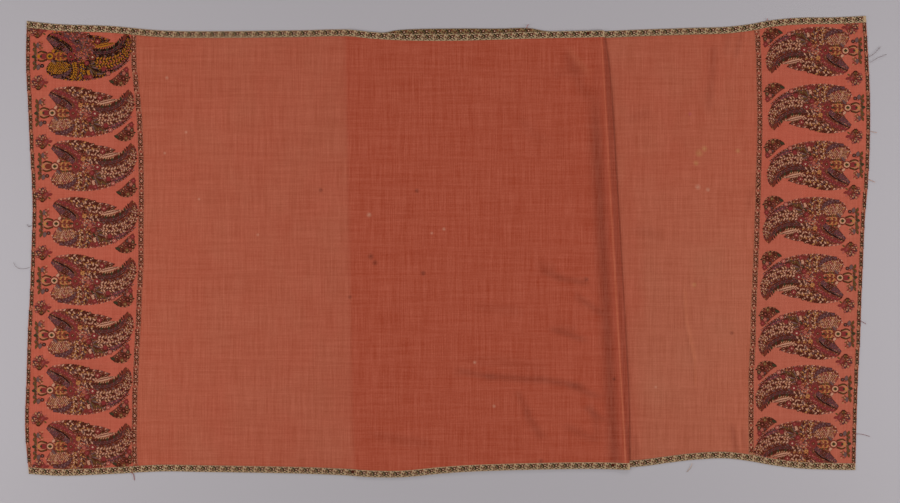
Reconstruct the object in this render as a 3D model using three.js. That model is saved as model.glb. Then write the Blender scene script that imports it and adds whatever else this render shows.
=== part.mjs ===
// A Kashmir long shawl laid out flat, with its middle folded back and forth once (a Z fold), in millimetres.
//
// +X runs along the shawl, +Y across it and +Z up; the origin is under the middle of the whole, on the surface.
// The upper stretch comes from the left end, climbs over the folded middle and turns under at a soft rolled fold.
// Two hidden layers lie beneath it. The lower stretch comes out from under the roll and runs to the right end.
// Each panel is a thin wall: a row of points on its underside is carried outwards by the cloth's thickness.
import * as THREE from "three";

// ---------- Driving sizes ----------
const CLOTH = 1.2; // one layer of the twill
const EDGING = 1.8; // the long-edge border, whose turnings lie under it
const GAP = 0.3; // between pieces, at seams and between layers
const STACK = 2 * CLOTH; // the two hidden layers together
const BORDER_WIDTH = 15; // woven strip sewn along the long edges
const OUTER_GUARD = 9; // narrow stripe along each end
const INNER_GUARD = 12; // narrow stripe between paisley ground and field
const END_WIDTH = 254; // a whole end: outer guard, paisley ground, inner guard
const ROWS = 20; // steps across the shawl in the wide panels

// Where the left and right ends run: the edge's x at each y.
const LEFT_END = [
  { y: 525, x: -966 },
  { y: 422, x: -968 },
  { y: 330, x: -963.5 },
  { y: 238, x: -959.5 },
  { y: 155, x: -955 },
  { y: 86, x: -953 },
  { y: -6, x: -955.5 },
  { y: -98, x: -958.5 },
  { y: -190, x: -963.5 },
  { y: -305, x: -967 },
  { y: -420, x: -970 },
  { y: -525, x: -961 },
];
const RIGHT_END = [
  { y: 535, x: 963 },
  { y: 431, x: 969 },
  { y: 330, x: 973 },
  { y: 224, x: 972 },
  { y: 146, x: 968 },
  { y: 63, x: 961 },
  { y: -29, x: 957 },
  { y: -121, x: 953 },
  { y: -213, x: 950 },
  { y: -305, x: 945 },
  { y: -397, x: 942 },
  { y: -515, x: 939 },
];

// How far both seams of each inner guard stripe stray from their even distance to the shawl's end, along +X.
const SEAM_DRIFT = [
  { y: 515, left: -1, right: -4.4 },
  { y: 440, left: -0.5, right: -4 },
  { y: 350, left: 4.4, right: -6 },
  { y: 280, left: 7, right: -5.8 },
  { y: 209, left: 6.2, right: -5.5 },
  { y: 163, left: 4.6, right: -5 },
  { y: 117, left: 2.8, right: -2.5 },
  { y: 71, left: 2, right: 0 },
  { y: 25, left: 2.8, right: 1.2 },
  { y: -21, left: 4.6, right: 1 },
  { y: -113, left: 3.7, right: 1.2 },
  { y: -159, left: 4.9, right: 0.8 },
  { y: -205, left: 4.4, right: 1.6 },
  { y: -297, left: 3.2, right: 2.2 },
  { y: -343, left: 2.8, right: 4.2 },
  { y: -389, left: 4, right: 5 },
  { y: -435, left: 2.2, right: 6.2 },
  { y: -481, left: -1, right: 8 },
];

// The long edges of the upper stretch, of the lower one, and of the two hidden layers between them.
const UPPER_EDGES = [
  { x: -970, top: 520, bottom: -521 },
  { x: -890, top: 512, bottom: -526 },
  { x: -775, top: 508, bottom: -522 },
  { x: -660, top: 498, bottom: -516 },
  { x: -570, top: 496, bottom: -517 },
  { x: -340, top: 498, bottom: -521 },
  { x: -235, top: 500, bottom: -525 },
  { x: -172, top: 494, bottom: -529 },
  { x: -100, top: 490, bottom: -529 },
  { x: -16, top: 489, bottom: -521 },
  { x: 60, top: 490, bottom: -516 },
  { x: 190, top: 494, bottom: -512 },
  { x: 330, top: 497, bottom: -510 },
  { x: 430, top: 498, bottom: -512 },
];
const LOWER_EDGES = [
  { x: 340, top: 495, bottom: -507 },
  { x: 400, top: 498, bottom: -507 },
  { x: 450, top: 500, bottom: -504 },
  { x: 510, top: 502, bottom: -496 },
  { x: 570, top: 504, bottom: -489 },
  { x: 640, top: 506, bottom: -486 },
  { x: 695, top: 512, bottom: -492 },
  { x: 745, top: 521, bottom: -501 },
  { x: 810, top: 527, bottom: -509 },
  { x: 890, top: 528, bottom: -512 },
  { x: 975, top: 532, bottom: -513 },
];
const HIDDEN_EDGES = [
  { x: -240, top: 494, bottom: -521 },
  { x: -158, top: 491, bottom: -524 },
  { x: -108, top: 499, bottom: -524 },
  { x: 7, top: 502, bottom: -515 },
  { x: 122, top: 502, bottom: -511 },
  { x: 188, top: 503, bottom: -509 },
  { x: 232, top: 496, bottom: -508 },
  { x: 430, top: 493, bottom: -506 },
];

// The left fold of the hidden layers, where they end in a rounded edge.
const HIDDEN_FOLD = [
  { y: 500, x: -231 },
  { y: 0, x: -219 },
  { y: -400, x: -213 },
  { y: -530, x: -207 },
];

// The roll where the upper stretch turns under: the x of its crest, how far its edge reaches past the crest,
// and how high the crest stands over the hidden layers.
const ROLL = [
  { y: 500, crest: 353, reach: 7, rise: 2.6 },
  { y: 395, crest: 359, reach: 15, rise: 5.0 },
  { y: 180, crest: 371, reach: 17, rise: 5.6 },
  { y: -60, crest: 385, reach: 17, rise: 5.8 },
  { y: -340, crest: 401, reach: 16, rise: 5.4 },
  { y: -512, crest: 411, reach: 9, rise: 2.8 },
];

// The wall's inner face beyond the crest: how far across to the roll's edge, and how high over its underside,
// both as shares. It comes down the slope, turns at the edge and runs back a little way beneath.
const ROLL_OVER = [
  { across: 0.25, height: 0.92 },
  { across: 0.5, height: 0.7 },
  { across: 0.72, height: 0.44 },
  { across: 0.9, height: 0.24 },
  { across: 1, height: 0.12 },
  { across: 0.985, height: 0.03 },
  { across: 0.93, height: 0 },
  { across: 0.76, height: 0 },
];
const TURNED_EDGE = 6; // of those sections, the ones that a border follows: its end is cut at the turn
const STUFFED = 2; // and the ones that the hidden layers fill from within

// The hidden layers' rounded fold: how far in from the fold, and how much is drawn in from below and above.
const FOLD_ROUND = [
  { inward: 0, drawn: 0.9 },
  { inward: 0.5, drawn: 0.35 },
  { inward: 1.6, drawn: 0 },
];
const GROOVE = { depth: 3, share: 0.12 }; // the parting between the two layers along the shawl's long edges
const ROLL_UNDER = EDGING + GAP; // the roll's underside clears the lower stretch's border
const RAMP = 13; // run over which the upper stretch climbs on to the hidden layers
const RAMP_TOP = 1; // and how far past their fold it is level
const CREST_BACKS = [110, 60, 30, 25, 20, 16, 12, 8, 4, 0]; // sections before the crest, back from it
const CREST_RUN = 30; // run over which the cloth climbs to the crest
const LIFT_TO = 4; // and where they are clear of the lower stretch
const END_DRAW = 0.8; // rounding of the hidden layers' end inside the roll

const COLOURS = {
  field: "#b4553c",
  paisley: "#b95c45",
  guard: "#8a5138",
  border: "#a88a5c",
};

// ---------- Curves through the tables ----------
const lerp = (a, b, t) => a + (b - a) * t;
const clamp01 = (t) => Math.min(1, Math.max(0, t));
const easeInOut = (t) => clamp01(t) ** 2 * (3 - 2 * clamp01(t));

// A smooth function through one column of a table, by cubic Hermite spans; its end values hold beyond the table.
function curve(table, inputColumn, outputColumn) {
  const knots = table
    .map((row) => ({ at: row[inputColumn], value: row[outputColumn] }))
    .sort((a, b) => a.at - b.at);
  const slopes = knots.map((knot, i) => {
    const before = knots[Math.max(0, i - 1)];
    const after = knots[Math.min(knots.length - 1, i + 1)];
    return (after.value - before.value) / (after.at - before.at);
  });
  return (at) => {
    if (at <= knots[0].at) return knots[0].value;
    if (at >= knots.at(-1).at) return knots.at(-1).value;
    const i = knots.findIndex((knot) => knot.at > at) - 1;
    const span = knots[i + 1].at - knots[i].at;
    const t = (at - knots[i].at) / span;
    const rise = knots[i + 1].value - knots[i].value;
    const ease = t * t * (3 - 2 * t);
    const leaving = t * (1 - t) ** 2 * slopes[i] * span;
    const arriving = t * t * (t - 1) * slopes[i + 1] * span;
    return knots[i].value + rise * ease + leaving + arriving;
  };
}

const leftEnd = curve(LEFT_END, "y", "x");
const rightEnd = curve(RIGHT_END, "y", "x");
const hiddenFold = curve(HIDDEN_FOLD, "y", "x");
const crest = curve(ROLL, "y", "crest");
const rollReach = curve(ROLL, "y", "reach");
const rollRise = curve(ROLL, "y", "rise");
const edgesOf = (table) => ({
  top: curve(table, "x", "top"),
  bottom: curve(table, "x", "bottom"),
});
const upper = edgesOf(UPPER_EDGES);
const lower = edgesOf(LOWER_EDGES);
const hidden = edgesOf(HIDDEN_EDGES);
const shifted = (line, by) => (y) => line(y) + by;
const driftLeft = curve(SEAM_DRIFT, "y", "left");
const driftRight = curve(SEAM_DRIFT, "y", "right");

// ---------- Columns: sections across the shawl, each a line with the height of the wall's underside ----------
// The underside of the upper stretch as far as the crest: on the surface, up the ramp, level, up to the crest.
function upperHeight(x, y) {
  const climb = easeInOut((x - hiddenFold(y) + RAMP - RAMP_TOP) / RAMP);
  const roll = easeInOut(1 - (crest(y) - x) / CREST_RUN);
  return (STACK + GAP) * climb + rollRise(y) * roll;
}
const onSurface = () => 0;

// Columns between two lines, both included unless the first is skipped.
function between(first, last, cells, height, skipFirst = false) {
  const count = skipFirst ? cells : cells + 1;
  return Array.from({ length: count }, (_, i) => {
    const share = (i + cells + 1 - count) / cells;
    return { x: (y) => lerp(first(y), last(y), share), z: height };
  });
}

// From the hidden fold to the crest: shared by the upper stretch and the layers under it, so that they nest.
const foldToCrest = [
  ...between(shifted(hiddenFold, RAMP_TOP), shifted(crest, -CREST_BACKS[0]), 6, upperHeight, true),
  ...CREST_BACKS.slice(1).map((back) => ({ x: shifted(crest, -back), z: upperHeight })),
];

// Over the crest, down and round the roll's edge: the first so many of the roll's sections.
function rollOver(count) {
  const low = ROLL_UNDER + CLOTH;
  return ROLL_OVER.slice(0, count).map((step) => ({
    x: (y) => crest(y) + step.across * (rollReach(y) - CLOTH),
    z: (x, y) => low + step.height * (upperHeight(crest(y), y) - low),
  }));
}

// The upper stretch from one line to the roll's edge.
function upperColumns(from, cells, sectionsOver) {
  const rampFoot = shifted(hiddenFold, -RAMP);
  return [
    ...between(from, rampFoot, cells, onSurface),
    ...between(rampFoot, shifted(hiddenFold, RAMP_TOP), 4, upperHeight, true),
    ...foldToCrest,
    ...rollOver(sectionsOver),
  ];
}

// ---------- Rows: lines that run along the shawl ----------
const inset = BORDER_WIDTH + GAP;
const innerTop = (edges) => (x) => edges.top(x) - inset;
const innerBottom = (edges) => (x) => edges.bottom(x) + inset;

// Rows over the body of a stretch, inside its two borders.
function bodyRows(edges) {
  const [low, high] = [innerBottom(edges), innerTop(edges)];
  return Array.from({ length: ROWS + 1 }, (_, i) => (x) => lerp(low(x), high(x), i / ROWS));
}

// The two rows of a border: its outer edge and its inner one, from below upwards.
const topBorderRows = (edges) => [(x) => edges.top(x) - BORDER_WIDTH, edges.top];
const bottomBorderRows = (edges) => [edges.bottom, (x) => edges.bottom(x) + BORDER_WIDTH];

// The point where a column crosses a row, found by going to and fro between them.
function crossing(column, row) {
  const rounds = 6;
  let y = row(0);
  for (let i = 0; i < rounds; i++) y = row(column.x(y));
  const x = column.x(y);
  return new THREE.Vector3(x, y, column.z(x, y));
}

// ---------- Solids ----------
function geometryOf(points, triangles) {
  const geometry = new THREE.BufferGeometry();
  const positions = points.flatMap((p) => p.toArray());
  geometry.setAttribute("position", new THREE.Float32BufferAttribute(positions, 3));
  geometry.setIndex(triangles.flat());
  geometry.computeVertexNormals();
  return geometry;
}

// A closed solid between two grids of points of the same size, rows first, the outer one facing up.
function solidBetween(outer, inner) {
  const [rows, columns] = [outer.length, outer[0].length];
  const triangles = [];
  const out = (r, c) => r * columns + c;
  const into = (r, c) => rows * columns + out(r, c);
  const quad = (a, b, c, d) => triangles.push([a, b, c], [a, c, d]);
  for (let r = 0; r + 1 < rows; r++) {
    for (let c = 0; c + 1 < columns; c++) {
      quad(out(r, c), out(r, c + 1), out(r + 1, c + 1), out(r + 1, c));
      quad(into(r, c), into(r + 1, c), into(r + 1, c + 1), into(r, c + 1));
    }
    const last = columns - 1;
    quad(out(r, 0), out(r + 1, 0), into(r + 1, 0), into(r, 0));
    quad(into(r, last), into(r + 1, last), out(r + 1, last), out(r, last));
  }
  for (let c = 0; c + 1 < columns; c++) {
    const last = rows - 1;
    quad(into(0, c), into(0, c + 1), out(0, c + 1), out(0, c));
    quad(out(last, c), out(last, c + 1), into(last, c + 1), into(last, c));
  }
  return geometryOf([...outer.flat(), ...inner.flat()], triangles);
}

// A cloth wall: the underside's points, and the same points moved out by the wall, square to each row.
function clothWall(columns, rows, wall) {
  const under = rows.map((row) => columns.map((column) => crossing(column, row)));
  const over = under.map((points) =>
    points.map((point, i) => {
      const before = points[Math.max(0, i - 1)];
      const after = points[Math.min(points.length - 1, i + 1)];
      const run = Math.hypot(after.x - before.x, after.z - before.z);
      const outX = (wall * (before.z - after.z)) / run;
      const outZ = (wall * (after.x - before.x)) / run;
      return new THREE.Vector3(point.x + outX, point.y, point.z + outZ);
    }),
  );
  return solidBetween(over, under);
}

// The sections of the hidden layers: where each lies, the height of the cloth over it, the height of its foot
// and how much it is drawn in there.
const stuffing = rollOver(STUFFED);
const hiddenSections = [
  ...FOLD_ROUND.map(({ inward, drawn }) => ({
    column: { x: shifted(hiddenFold, inward), z: () => STACK + GAP },
    foot: drawn,
    drawn,
  })),
  ...foldToCrest.map((column, i) => {
    const back = CREST_BACKS[i + CREST_BACKS.length - foldToCrest.length];
    return { column, foot: back <= LIFT_TO ? ROLL_UNDER : 0, drawn: 0 };
  }),
  ...stuffing.map((column) => ({
    column,
    foot: ROLL_UNDER,
    drawn: column === stuffing.at(-1) ? END_DRAW : 0,
  })),
];

// The roof or floor of the hidden layers along one row.
const roofAlong = (row) =>
  hiddenSections.map(({ column, drawn }) => {
    const p = crossing(column, row);
    return p.setZ(p.z - GAP - drawn);
  });
const floorAlong = (row) => hiddenSections.map(({ column, foot }) => crossing(column, row).setZ(foot));

// The hidden body: its rows are the upper stretch's, but for its own two edges.
function hiddenBody() {
  const rows = [innerBottom(hidden), ...bodyRows(upper).slice(1, -1), innerTop(hidden)];
  return solidBetween(rows.map(roofAlong), rows.map(floorAlong));
}

// A hidden border: a strip with a parting between its two layers along the outer edge.
function hiddenBorder(innerRow, outerRow, outward) {
  const [innerRoof, outerRoof] = [roofAlong(innerRow), roofAlong(outerRow)];
  const [innerFloor, outerFloor] = [floorAlong(innerRow), floorAlong(outerRow)];
  const partingShare = [
    { share: 0.5 - GROOVE.share / 2, depth: 0 },
    { share: 0.5, depth: GROOVE.depth },
    { share: 0.5 + GROOVE.share / 2, depth: 0 },
  ];
  const rings = hiddenSections.map((_, i) => {
    const parting = partingShare.map(({ share, depth }) => {
      const p = outerFloor[i].clone().lerp(outerRoof[i], share);
      return p.setY(p.y - outward * depth);
    });
    return [innerFloor[i], outerFloor[i], ...parting, outerRoof[i], innerRoof[i]];
  });
  const size = rings[0].length;
  const heart = 3; // the parting's inmost point sees the whole ring
  const triangles = [];
  for (let s = 0; s + 1 < rings.length; s++)
    for (let i = 0; i < size; i++) {
      const [a, b] = [s * size + i, s * size + ((i + 1) % size)];
      triangles.push([a, b + size, b], [a, a + size, b + size]);
    }
  const last = (rings.length - 1) * size;
  for (let i = 1; i + 1 < size; i++) {
    const [a, b] = [(heart + i) % size, (heart + i + 1) % size];
    triangles.push([heart, a, b], [last + heart, last + b, last + a]);
  }
  const facing = outward > 0 ? triangles.map(([a, b, c]) => [a, c, b]) : triangles;
  return geometryOf(rings.flat(), facing);
}

// ---------- Pieces ----------
const half = GAP / 2;
const groundEnd = END_WIDTH - INNER_GUARD;
const CELLS = { groundLeft: 5, groundRight: 7, upper: 8, lower: 9 };
const strays = (offset) => (offset < groundEnd - GAP ? 0 : 1);
const fromLeft = (offset) => (y) => leftEnd(y) + offset + strays(offset) * driftLeft(y);
const fromRight = (offset) => (y) => rightEnd(y) - offset + strays(offset) * driftRight(y);
const leftStrip = (from, to, cells) =>
  clothWall(between(fromLeft(from), fromLeft(to), cells, onSurface), bodyRows(upper), CLOTH);
const rightStrip = (from, to, cells) =>
  clothWall(between(fromRight(to), fromRight(from), cells, onSurface), bodyRows(lower), CLOTH);

const lowerStart = shifted(crest, GAP - LIFT_TO);
const fieldUpper = upperColumns(fromLeft(END_WIDTH + half), CELLS.upper, ROLL_OVER.length);
const fieldLower = between(lowerStart, fromRight(END_WIDTH + half), CELLS.lower, onSurface);

// A border has the sections of all the panels that it runs beside, so that its seam keeps its gap.
const borderUpper = [
  ...between(leftEnd, fromLeft(OUTER_GUARD), 1, onSurface),
  ...between(fromLeft(OUTER_GUARD), fromLeft(groundEnd), CELLS.groundLeft, onSurface, true),
  ...between(fromLeft(groundEnd), fromLeft(END_WIDTH), 1, onSurface, true),
  ...upperColumns(fromLeft(END_WIDTH), CELLS.upper, TURNED_EDGE).slice(1),
];
const borderLower = [
  ...between(lowerStart, fromRight(END_WIDTH), CELLS.lower, onSurface),
  ...between(fromRight(END_WIDTH), fromRight(groundEnd), 1, onSurface, true),
  ...between(fromRight(groundEnd), fromRight(OUTER_GUARD), CELLS.groundRight, onSurface, true),
  ...between(fromRight(OUTER_GUARD), rightEnd, 1, onSurface, true),
];

const PIECES = {
  field_upper: { color: COLOURS.field, geometry: clothWall(fieldUpper, bodyRows(upper), CLOTH) },
  field_lower: { color: COLOURS.field, geometry: clothWall(fieldLower, bodyRows(lower), CLOTH) },
  end_ground_left: {
    color: COLOURS.paisley,
    geometry: leftStrip(OUTER_GUARD + half, groundEnd - half, CELLS.groundLeft),
  },
  end_ground_right: {
    color: COLOURS.paisley,
    geometry: rightStrip(OUTER_GUARD + half, groundEnd - half, CELLS.groundRight),
  },
  outer_guard_left: { color: COLOURS.guard, geometry: leftStrip(0, OUTER_GUARD - half, 1) },
  outer_guard_right: { color: COLOURS.guard, geometry: rightStrip(0, OUTER_GUARD - half, 1) },
  inner_guard_left: {
    color: COLOURS.guard,
    geometry: leftStrip(groundEnd + half, END_WIDTH - half, 1),
  },
  inner_guard_right: {
    color: COLOURS.guard,
    geometry: rightStrip(groundEnd + half, END_WIDTH - half, 1),
  },
  border_upper_top: {
    color: COLOURS.border,
    geometry: clothWall(borderUpper, topBorderRows(upper), EDGING),
  },
  border_upper_bottom: {
    color: COLOURS.border,
    geometry: clothWall(borderUpper, bottomBorderRows(upper), EDGING),
  },
  border_lower_top: {
    color: COLOURS.border,
    geometry: clothWall(borderLower, topBorderRows(lower), EDGING),
  },
  border_lower_bottom: {
    color: COLOURS.border,
    geometry: clothWall(borderLower, bottomBorderRows(lower), EDGING),
  },
  hidden_layers: { color: COLOURS.field, geometry: hiddenBody() },
  hidden_border_top: {
    color: COLOURS.border,
    geometry: hiddenBorder((x) => hidden.top(x) - BORDER_WIDTH, hidden.top, 1),
  },
  hidden_border_bottom: {
    color: COLOURS.border,
    geometry: hiddenBorder((x) => hidden.bottom(x) + BORDER_WIDTH, hidden.bottom, -1),
  },
};

const shawl = new THREE.Group();
for (const [name, { color, geometry }] of Object.entries(PIECES)) {
  const material = new THREE.MeshStandardMaterial({ color, roughness: 0.9, metalness: 0 });
  const mesh = new THREE.Mesh(geometry, material);
  mesh.name = name;
  shawl.add(mesh);
}

// The origin is moved under the middle of the whole.
const middle = new THREE.Box3().setFromObject(shawl).getCenter(new THREE.Vector3());
shawl.position.set(-middle.x, -middle.y, 0);

export default shawl;
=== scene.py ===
"""Dresses a long Kashmir shawl that lies flat, with its middle folded under in a Z.

Sizes are in millimetres on a drawing whose +X runs along the shawl and +Y across it. Meshes are made in
metres in the CAD's frame. The upper stretch comes from the left end, climbs over two hidden layers and
turns under at a soft roll. The lower stretch comes out from under the roll and runs to the right end.
"""

import logging
import math
from collections.abc import Callable, Sequence
from dataclasses import dataclass
from enum import Enum
from functools import partial

import bpy
import numpy as np
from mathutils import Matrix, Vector
from mathutils.geometry import delaunay_2d_cdt


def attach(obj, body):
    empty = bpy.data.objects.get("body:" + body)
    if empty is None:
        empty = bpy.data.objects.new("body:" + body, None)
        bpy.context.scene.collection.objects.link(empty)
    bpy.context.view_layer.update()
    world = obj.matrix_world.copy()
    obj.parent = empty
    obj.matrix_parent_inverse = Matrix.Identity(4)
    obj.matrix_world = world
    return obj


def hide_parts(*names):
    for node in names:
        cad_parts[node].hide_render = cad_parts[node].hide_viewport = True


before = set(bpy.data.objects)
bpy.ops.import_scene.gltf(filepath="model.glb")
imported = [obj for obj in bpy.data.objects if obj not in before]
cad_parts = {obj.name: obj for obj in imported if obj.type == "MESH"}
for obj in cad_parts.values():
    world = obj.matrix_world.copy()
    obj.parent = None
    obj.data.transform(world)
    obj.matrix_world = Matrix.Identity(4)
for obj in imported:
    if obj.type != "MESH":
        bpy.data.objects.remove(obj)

log = logging.getLogger("shawl")

MM = 0.001
DRAWING_MIDDLE = (1.4719, 0.8727)  # the drawing's point that lies over the frame's origin
GRID_STEP, GRID_MIDDLE = 2.3, (447, 247)  # the survey grid, with y downwards
ROWS_ACROSS = np.linspace(0, 1, 154)
SHARP = math.radians(50)  # edges of cloth that turn by more than this aren't smoothed
BODY = "root"
SETTLING_ROUNDS = 6  # to find where a column and a row cross
FINE_STEPS = 12  # between two points of a spine

Array = np.ndarray
Line = Callable[[Array], Array]
Height = Callable[[Array, Array], Array]
Socket = bpy.types.NodeSocket
Material = bpy.types.Material
Object = bpy.types.Object


# ---------- Lines and heights ----------


def on_grid(x: float, y: float) -> tuple[float, float]:
    """Turns a place on the survey grid into millimetres on the drawing."""
    return (x - GRID_MIDDLE[0]) * GRID_STEP, (GRID_MIDDLE[1] - y) * GRID_STEP


class Curve:
    """A smooth line through a table's rows, which holds its end values beyond them."""

    def __init__(self, rows: Sequence[tuple[float, float]]) -> None:
        """Takes rows of (where, value), in any order.

        Args:
            rows: The table's rows.
        """
        ordered = sorted(rows)
        self.at = np.array([row[0] for row in ordered], dtype=float)
        self.value = np.array([row[1] for row in ordered], dtype=float)
        here = np.arange(len(ordered))
        fore, aft = np.minimum(here + 1, here[-1]), np.maximum(here - 1, 0)
        self.slope = (self.value[fore] - self.value[aft]) / (self.at[fore] - self.at[aft])

    def __call__(self, at: Array) -> Array:
        """Gives the line's values at some places.

        Args:
            at: The places.

        Returns:
            The values there.
        """
        held = np.clip(np.asarray(at, dtype=float), self.at[0], self.at[-1])
        i = np.clip(np.searchsorted(self.at, held, side="right") - 1, 0, len(self.at) - 2)
        span = self.at[i + 1] - self.at[i]
        t = (held - self.at[i]) / span
        rise = (self.value[i + 1] - self.value[i]) * t * t * (3 - 2 * t)
        leaving = t * (1 - t) ** 2 * self.slope[i] * span
        arriving = t * t * (t - 1) * self.slope[i + 1] * span
        return self.value[i] + rise + leaving + arriving


def ease(share: Array) -> Array:
    """Goes softly from 0 to 1 as share does."""
    t = np.clip(share, 0.0, 1.0)
    return t * t * (3 - 2 * t)


LEFT_END = Curve([(525, -966), (422, -968), (330, -963.5), (238, -959.5), (155, -955), (86, -953),
    (-6, -955.5), (-98, -958.5), (-190, -963.5), (-305, -967), (-420, -970), (-525, -961)])
RIGHT_END = Curve([(535, 963), (431, 969), (330, 973), (224, 972), (146, 968), (63, 961), (-29, 957),
    (-121, 953), (-213, 950), (-305, 945), (-397, 942), (-515, 939)])
# How far both seams of each inner guard stripe stray along +X from their even distance to the end.
LEFT_DRIFT = Curve([(515, -1), (440, -0.5), (350, 4.4), (280, 7), (209, 6.2), (163, 4.6), (117, 2.8), (71, 2),
    (25, 2.8), (-21, 4.6), (-113, 3.7), (-159, 4.9), (-205, 4.4), (-297, 3.2), (-343, 2.8), (-389, 4),
    (-435, 2.2), (-481, -1)])
RIGHT_DRIFT = Curve([(515, -4.4), (440, -4), (350, -6), (280, -5.8), (209, -5.5), (163, -5), (117, -2.5),
    (71, 0), (25, 1.2), (-21, 1), (-113, 1.2), (-159, 0.8), (-205, 1.6), (-297, 2.2), (-343, 4.2), (-389, 5),
    (-435, 6.2), (-481, 8)])
UPPER_TOP = Curve([(-970, 520), (-890, 512), (-775, 508), (-660, 498), (-570, 496), (-340, 498), (-235, 500),
    (-172, 494), (-100, 490), (-16, 489), (60, 490), (190, 494), (330, 497), (430, 498)])
UPPER_BOTTOM = Curve([(-970, -521), (-890, -526), (-775, -522), (-660, -516), (-570, -517), (-340, -521),
    (-235, -525), (-172, -529), (-100, -529), (-16, -521), (60, -516), (190, -512), (330, -510), (430, -512)])
LOWER_TOP = Curve([(340, 495), (400, 498), (450, 500), (510, 502), (570, 504), (640, 506), (695, 512),
    (745, 521), (810, 527), (890, 528), (975, 532)])
LOWER_BOTTOM = Curve([(340, -507), (400, -507), (450, -504), (510, -496), (570, -489), (640, -486),
    (695, -492), (745, -501), (810, -509), (890, -512), (975, -513)])
HIDDEN_TOP = Curve([(-240, 494), (-158, 491), (-108, 499), (7, 502), (122, 502), (188, 503), (232, 496),
    (430, 493)])
HIDDEN_BOTTOM = Curve([(-240, -521), (-158, -524), (-108, -524), (7, -515), (122, -511), (188, -509),
    (232, -508), (430, -506)])
HIDDEN_FOLD = Curve([(500, -231), (0, -219), (-400, -213), (-530, -207)])
CREST = Curve([(500, 353), (395, 359), (180, 371), (-60, 385), (-340, 401), (-512, 411)])
REACH = Curve([(500, 7), (395, 15), (180, 17), (-60, 17), (-340, 16), (-512, 9)])
RISE = Curve([(500, 2.6), (395, 5.0), (180, 5.6), (-60, 5.8), (-340, 5.4), (-512, 2.8)])
ROLL_ACROSS = Curve([(0, 0), (1, 0.25), (2, 0.5), (3, 0.72), (4, 0.9), (5, 1), (6, 0.985), (7, 0.93),
    (8, 0.76)])
ROLL_HEIGHT = Curve([(0, 1), (1, 0.92), (2, 0.7), (3, 0.44), (4, 0.24), (5, 0.12), (6, 0.03), (7, 0), (8, 0)])


@dataclass(frozen=True)
class Crease:
    """A soft ridge in the cloth from one point to another, whose ridge may be painted pale, partly as wear
    and partly as a painted highlight.
    """

    x0: float
    y0: float
    x1: float
    y1: float
    rise: float
    half_width: float
    # How far the ridge is painted pale: partly wear, partly a painted highlight.
    rubbed_and_highlit: float = 0.0

    def swell(self, x: Array, y: Array, off: float = 0.0) -> Array:
        """Gives the crease's form at some points, from 0 to 1.

        Args:
            x: The points' x.
            y: The points' y.
            off: How far to its right hand the form is shifted, in half widths.

        Returns:
            The form.
        """
        run = math.hypot(self.x1 - self.x0, self.y1 - self.y0)
        ux, uy = (self.x1 - self.x0) / run, (self.y1 - self.y0) / run
        share = ((x - self.x0) * ux + (y - self.y0) * uy) / run
        across = (y - self.y0) * ux - (x - self.x0) * uy
        return ease(4 * share) * ease(4 * (1 - share)) * np.exp(-((across / self.half_width + off) ** 2))


# On the survey grid from x, y to x, y; then rise and half width in millimetres, and how far its ridge is
# painted pale, partly as wear and partly as a painted highlight.
CREASE_ROWS = ((452, 366, 500, 375, 2.2, 8), (478, 372, 548, 377, 2.8, 8), (530, 374, 592, 384, 2.8, 8),
    (566, 380, 606, 396, 2.2, 8), (456, 352, 560, 362, 1.0, 18), (538, 266, 566, 276, 2.4, 8),
    (554, 274, 594, 281, 2.6, 7), (536, 258, 560, 266, 1.4, 10), (574, 290, 608, 314, 2.4, 8),
    (546, 324, 592, 339, 2.6, 7), (556, 322, 580, 326, 1.4, 10), (518, 386, 534, 414, 1.8, 9),
    (526, 404, 548, 440, 2.2, 10), (584, 402, 608, 420, 2.2, 7), (562, 420, 606, 440, 1.4, 10),
    (594, 396, 603, 440, 1.6, 9), (566, 44, 596, 104, 1.6, 12), (548, 70, 590, 60, 1.0, 14),
    (366, 428, 440, 441, 1.2, 12), (470, 300, 528, 306, 0.9, 14), (566, 46, 592, 78, 0.8, 8, 0.4),
    (518, 112, 552, 142, 0.8, 12), (684, 284, 687, 330, 1.2, 4, 0.7), (686, 318, 696, 366, 1.2, 4, 0.8),
    (694, 350, 695, 392, 1.0, 4, 0.5), (718, 40, 716, 84, 1.8, 10), (716, 74, 713, 116, 1.6, 10),
    (734, 420, 740, 456, 2.2, 7), (745, 424, 747, 452, 1.6, 6), (637, 430, 640, 462, 1.8, 7),
    (628, 420, 633, 460, 1.4, 6), (824, 404, 834, 436, 1.0, 12), (746, 24, 738, 62, 1.8, 7),
    (734, 26, 727, 58, 1.4, 7), (757, 182, 751, 214, 1.2, 7), (53, 195, 108, 206, 0.7, 14),
    (56, 356, 112, 362, 0.7, 14), (795, 143, 851, 134, 0.7, 14), (28, 162, 48, 170, 1.2, 8),
    (620, 116, 652, 104, 1.0, 14), (630, 220, 668, 232, 0.9, 16))
CREASES = [
    Crease(*on_grid(x0, y0), *on_grid(x1, y1), rise, half_width, *rubbed_and_highlit)
    for x0, y0, x1, y1, rise, half_width, *rubbed_and_highlit in CREASE_ROWS
]
GREYED_PATCHES = ((600, -40), (560, -250), (640, -190), (480, -330))


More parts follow.
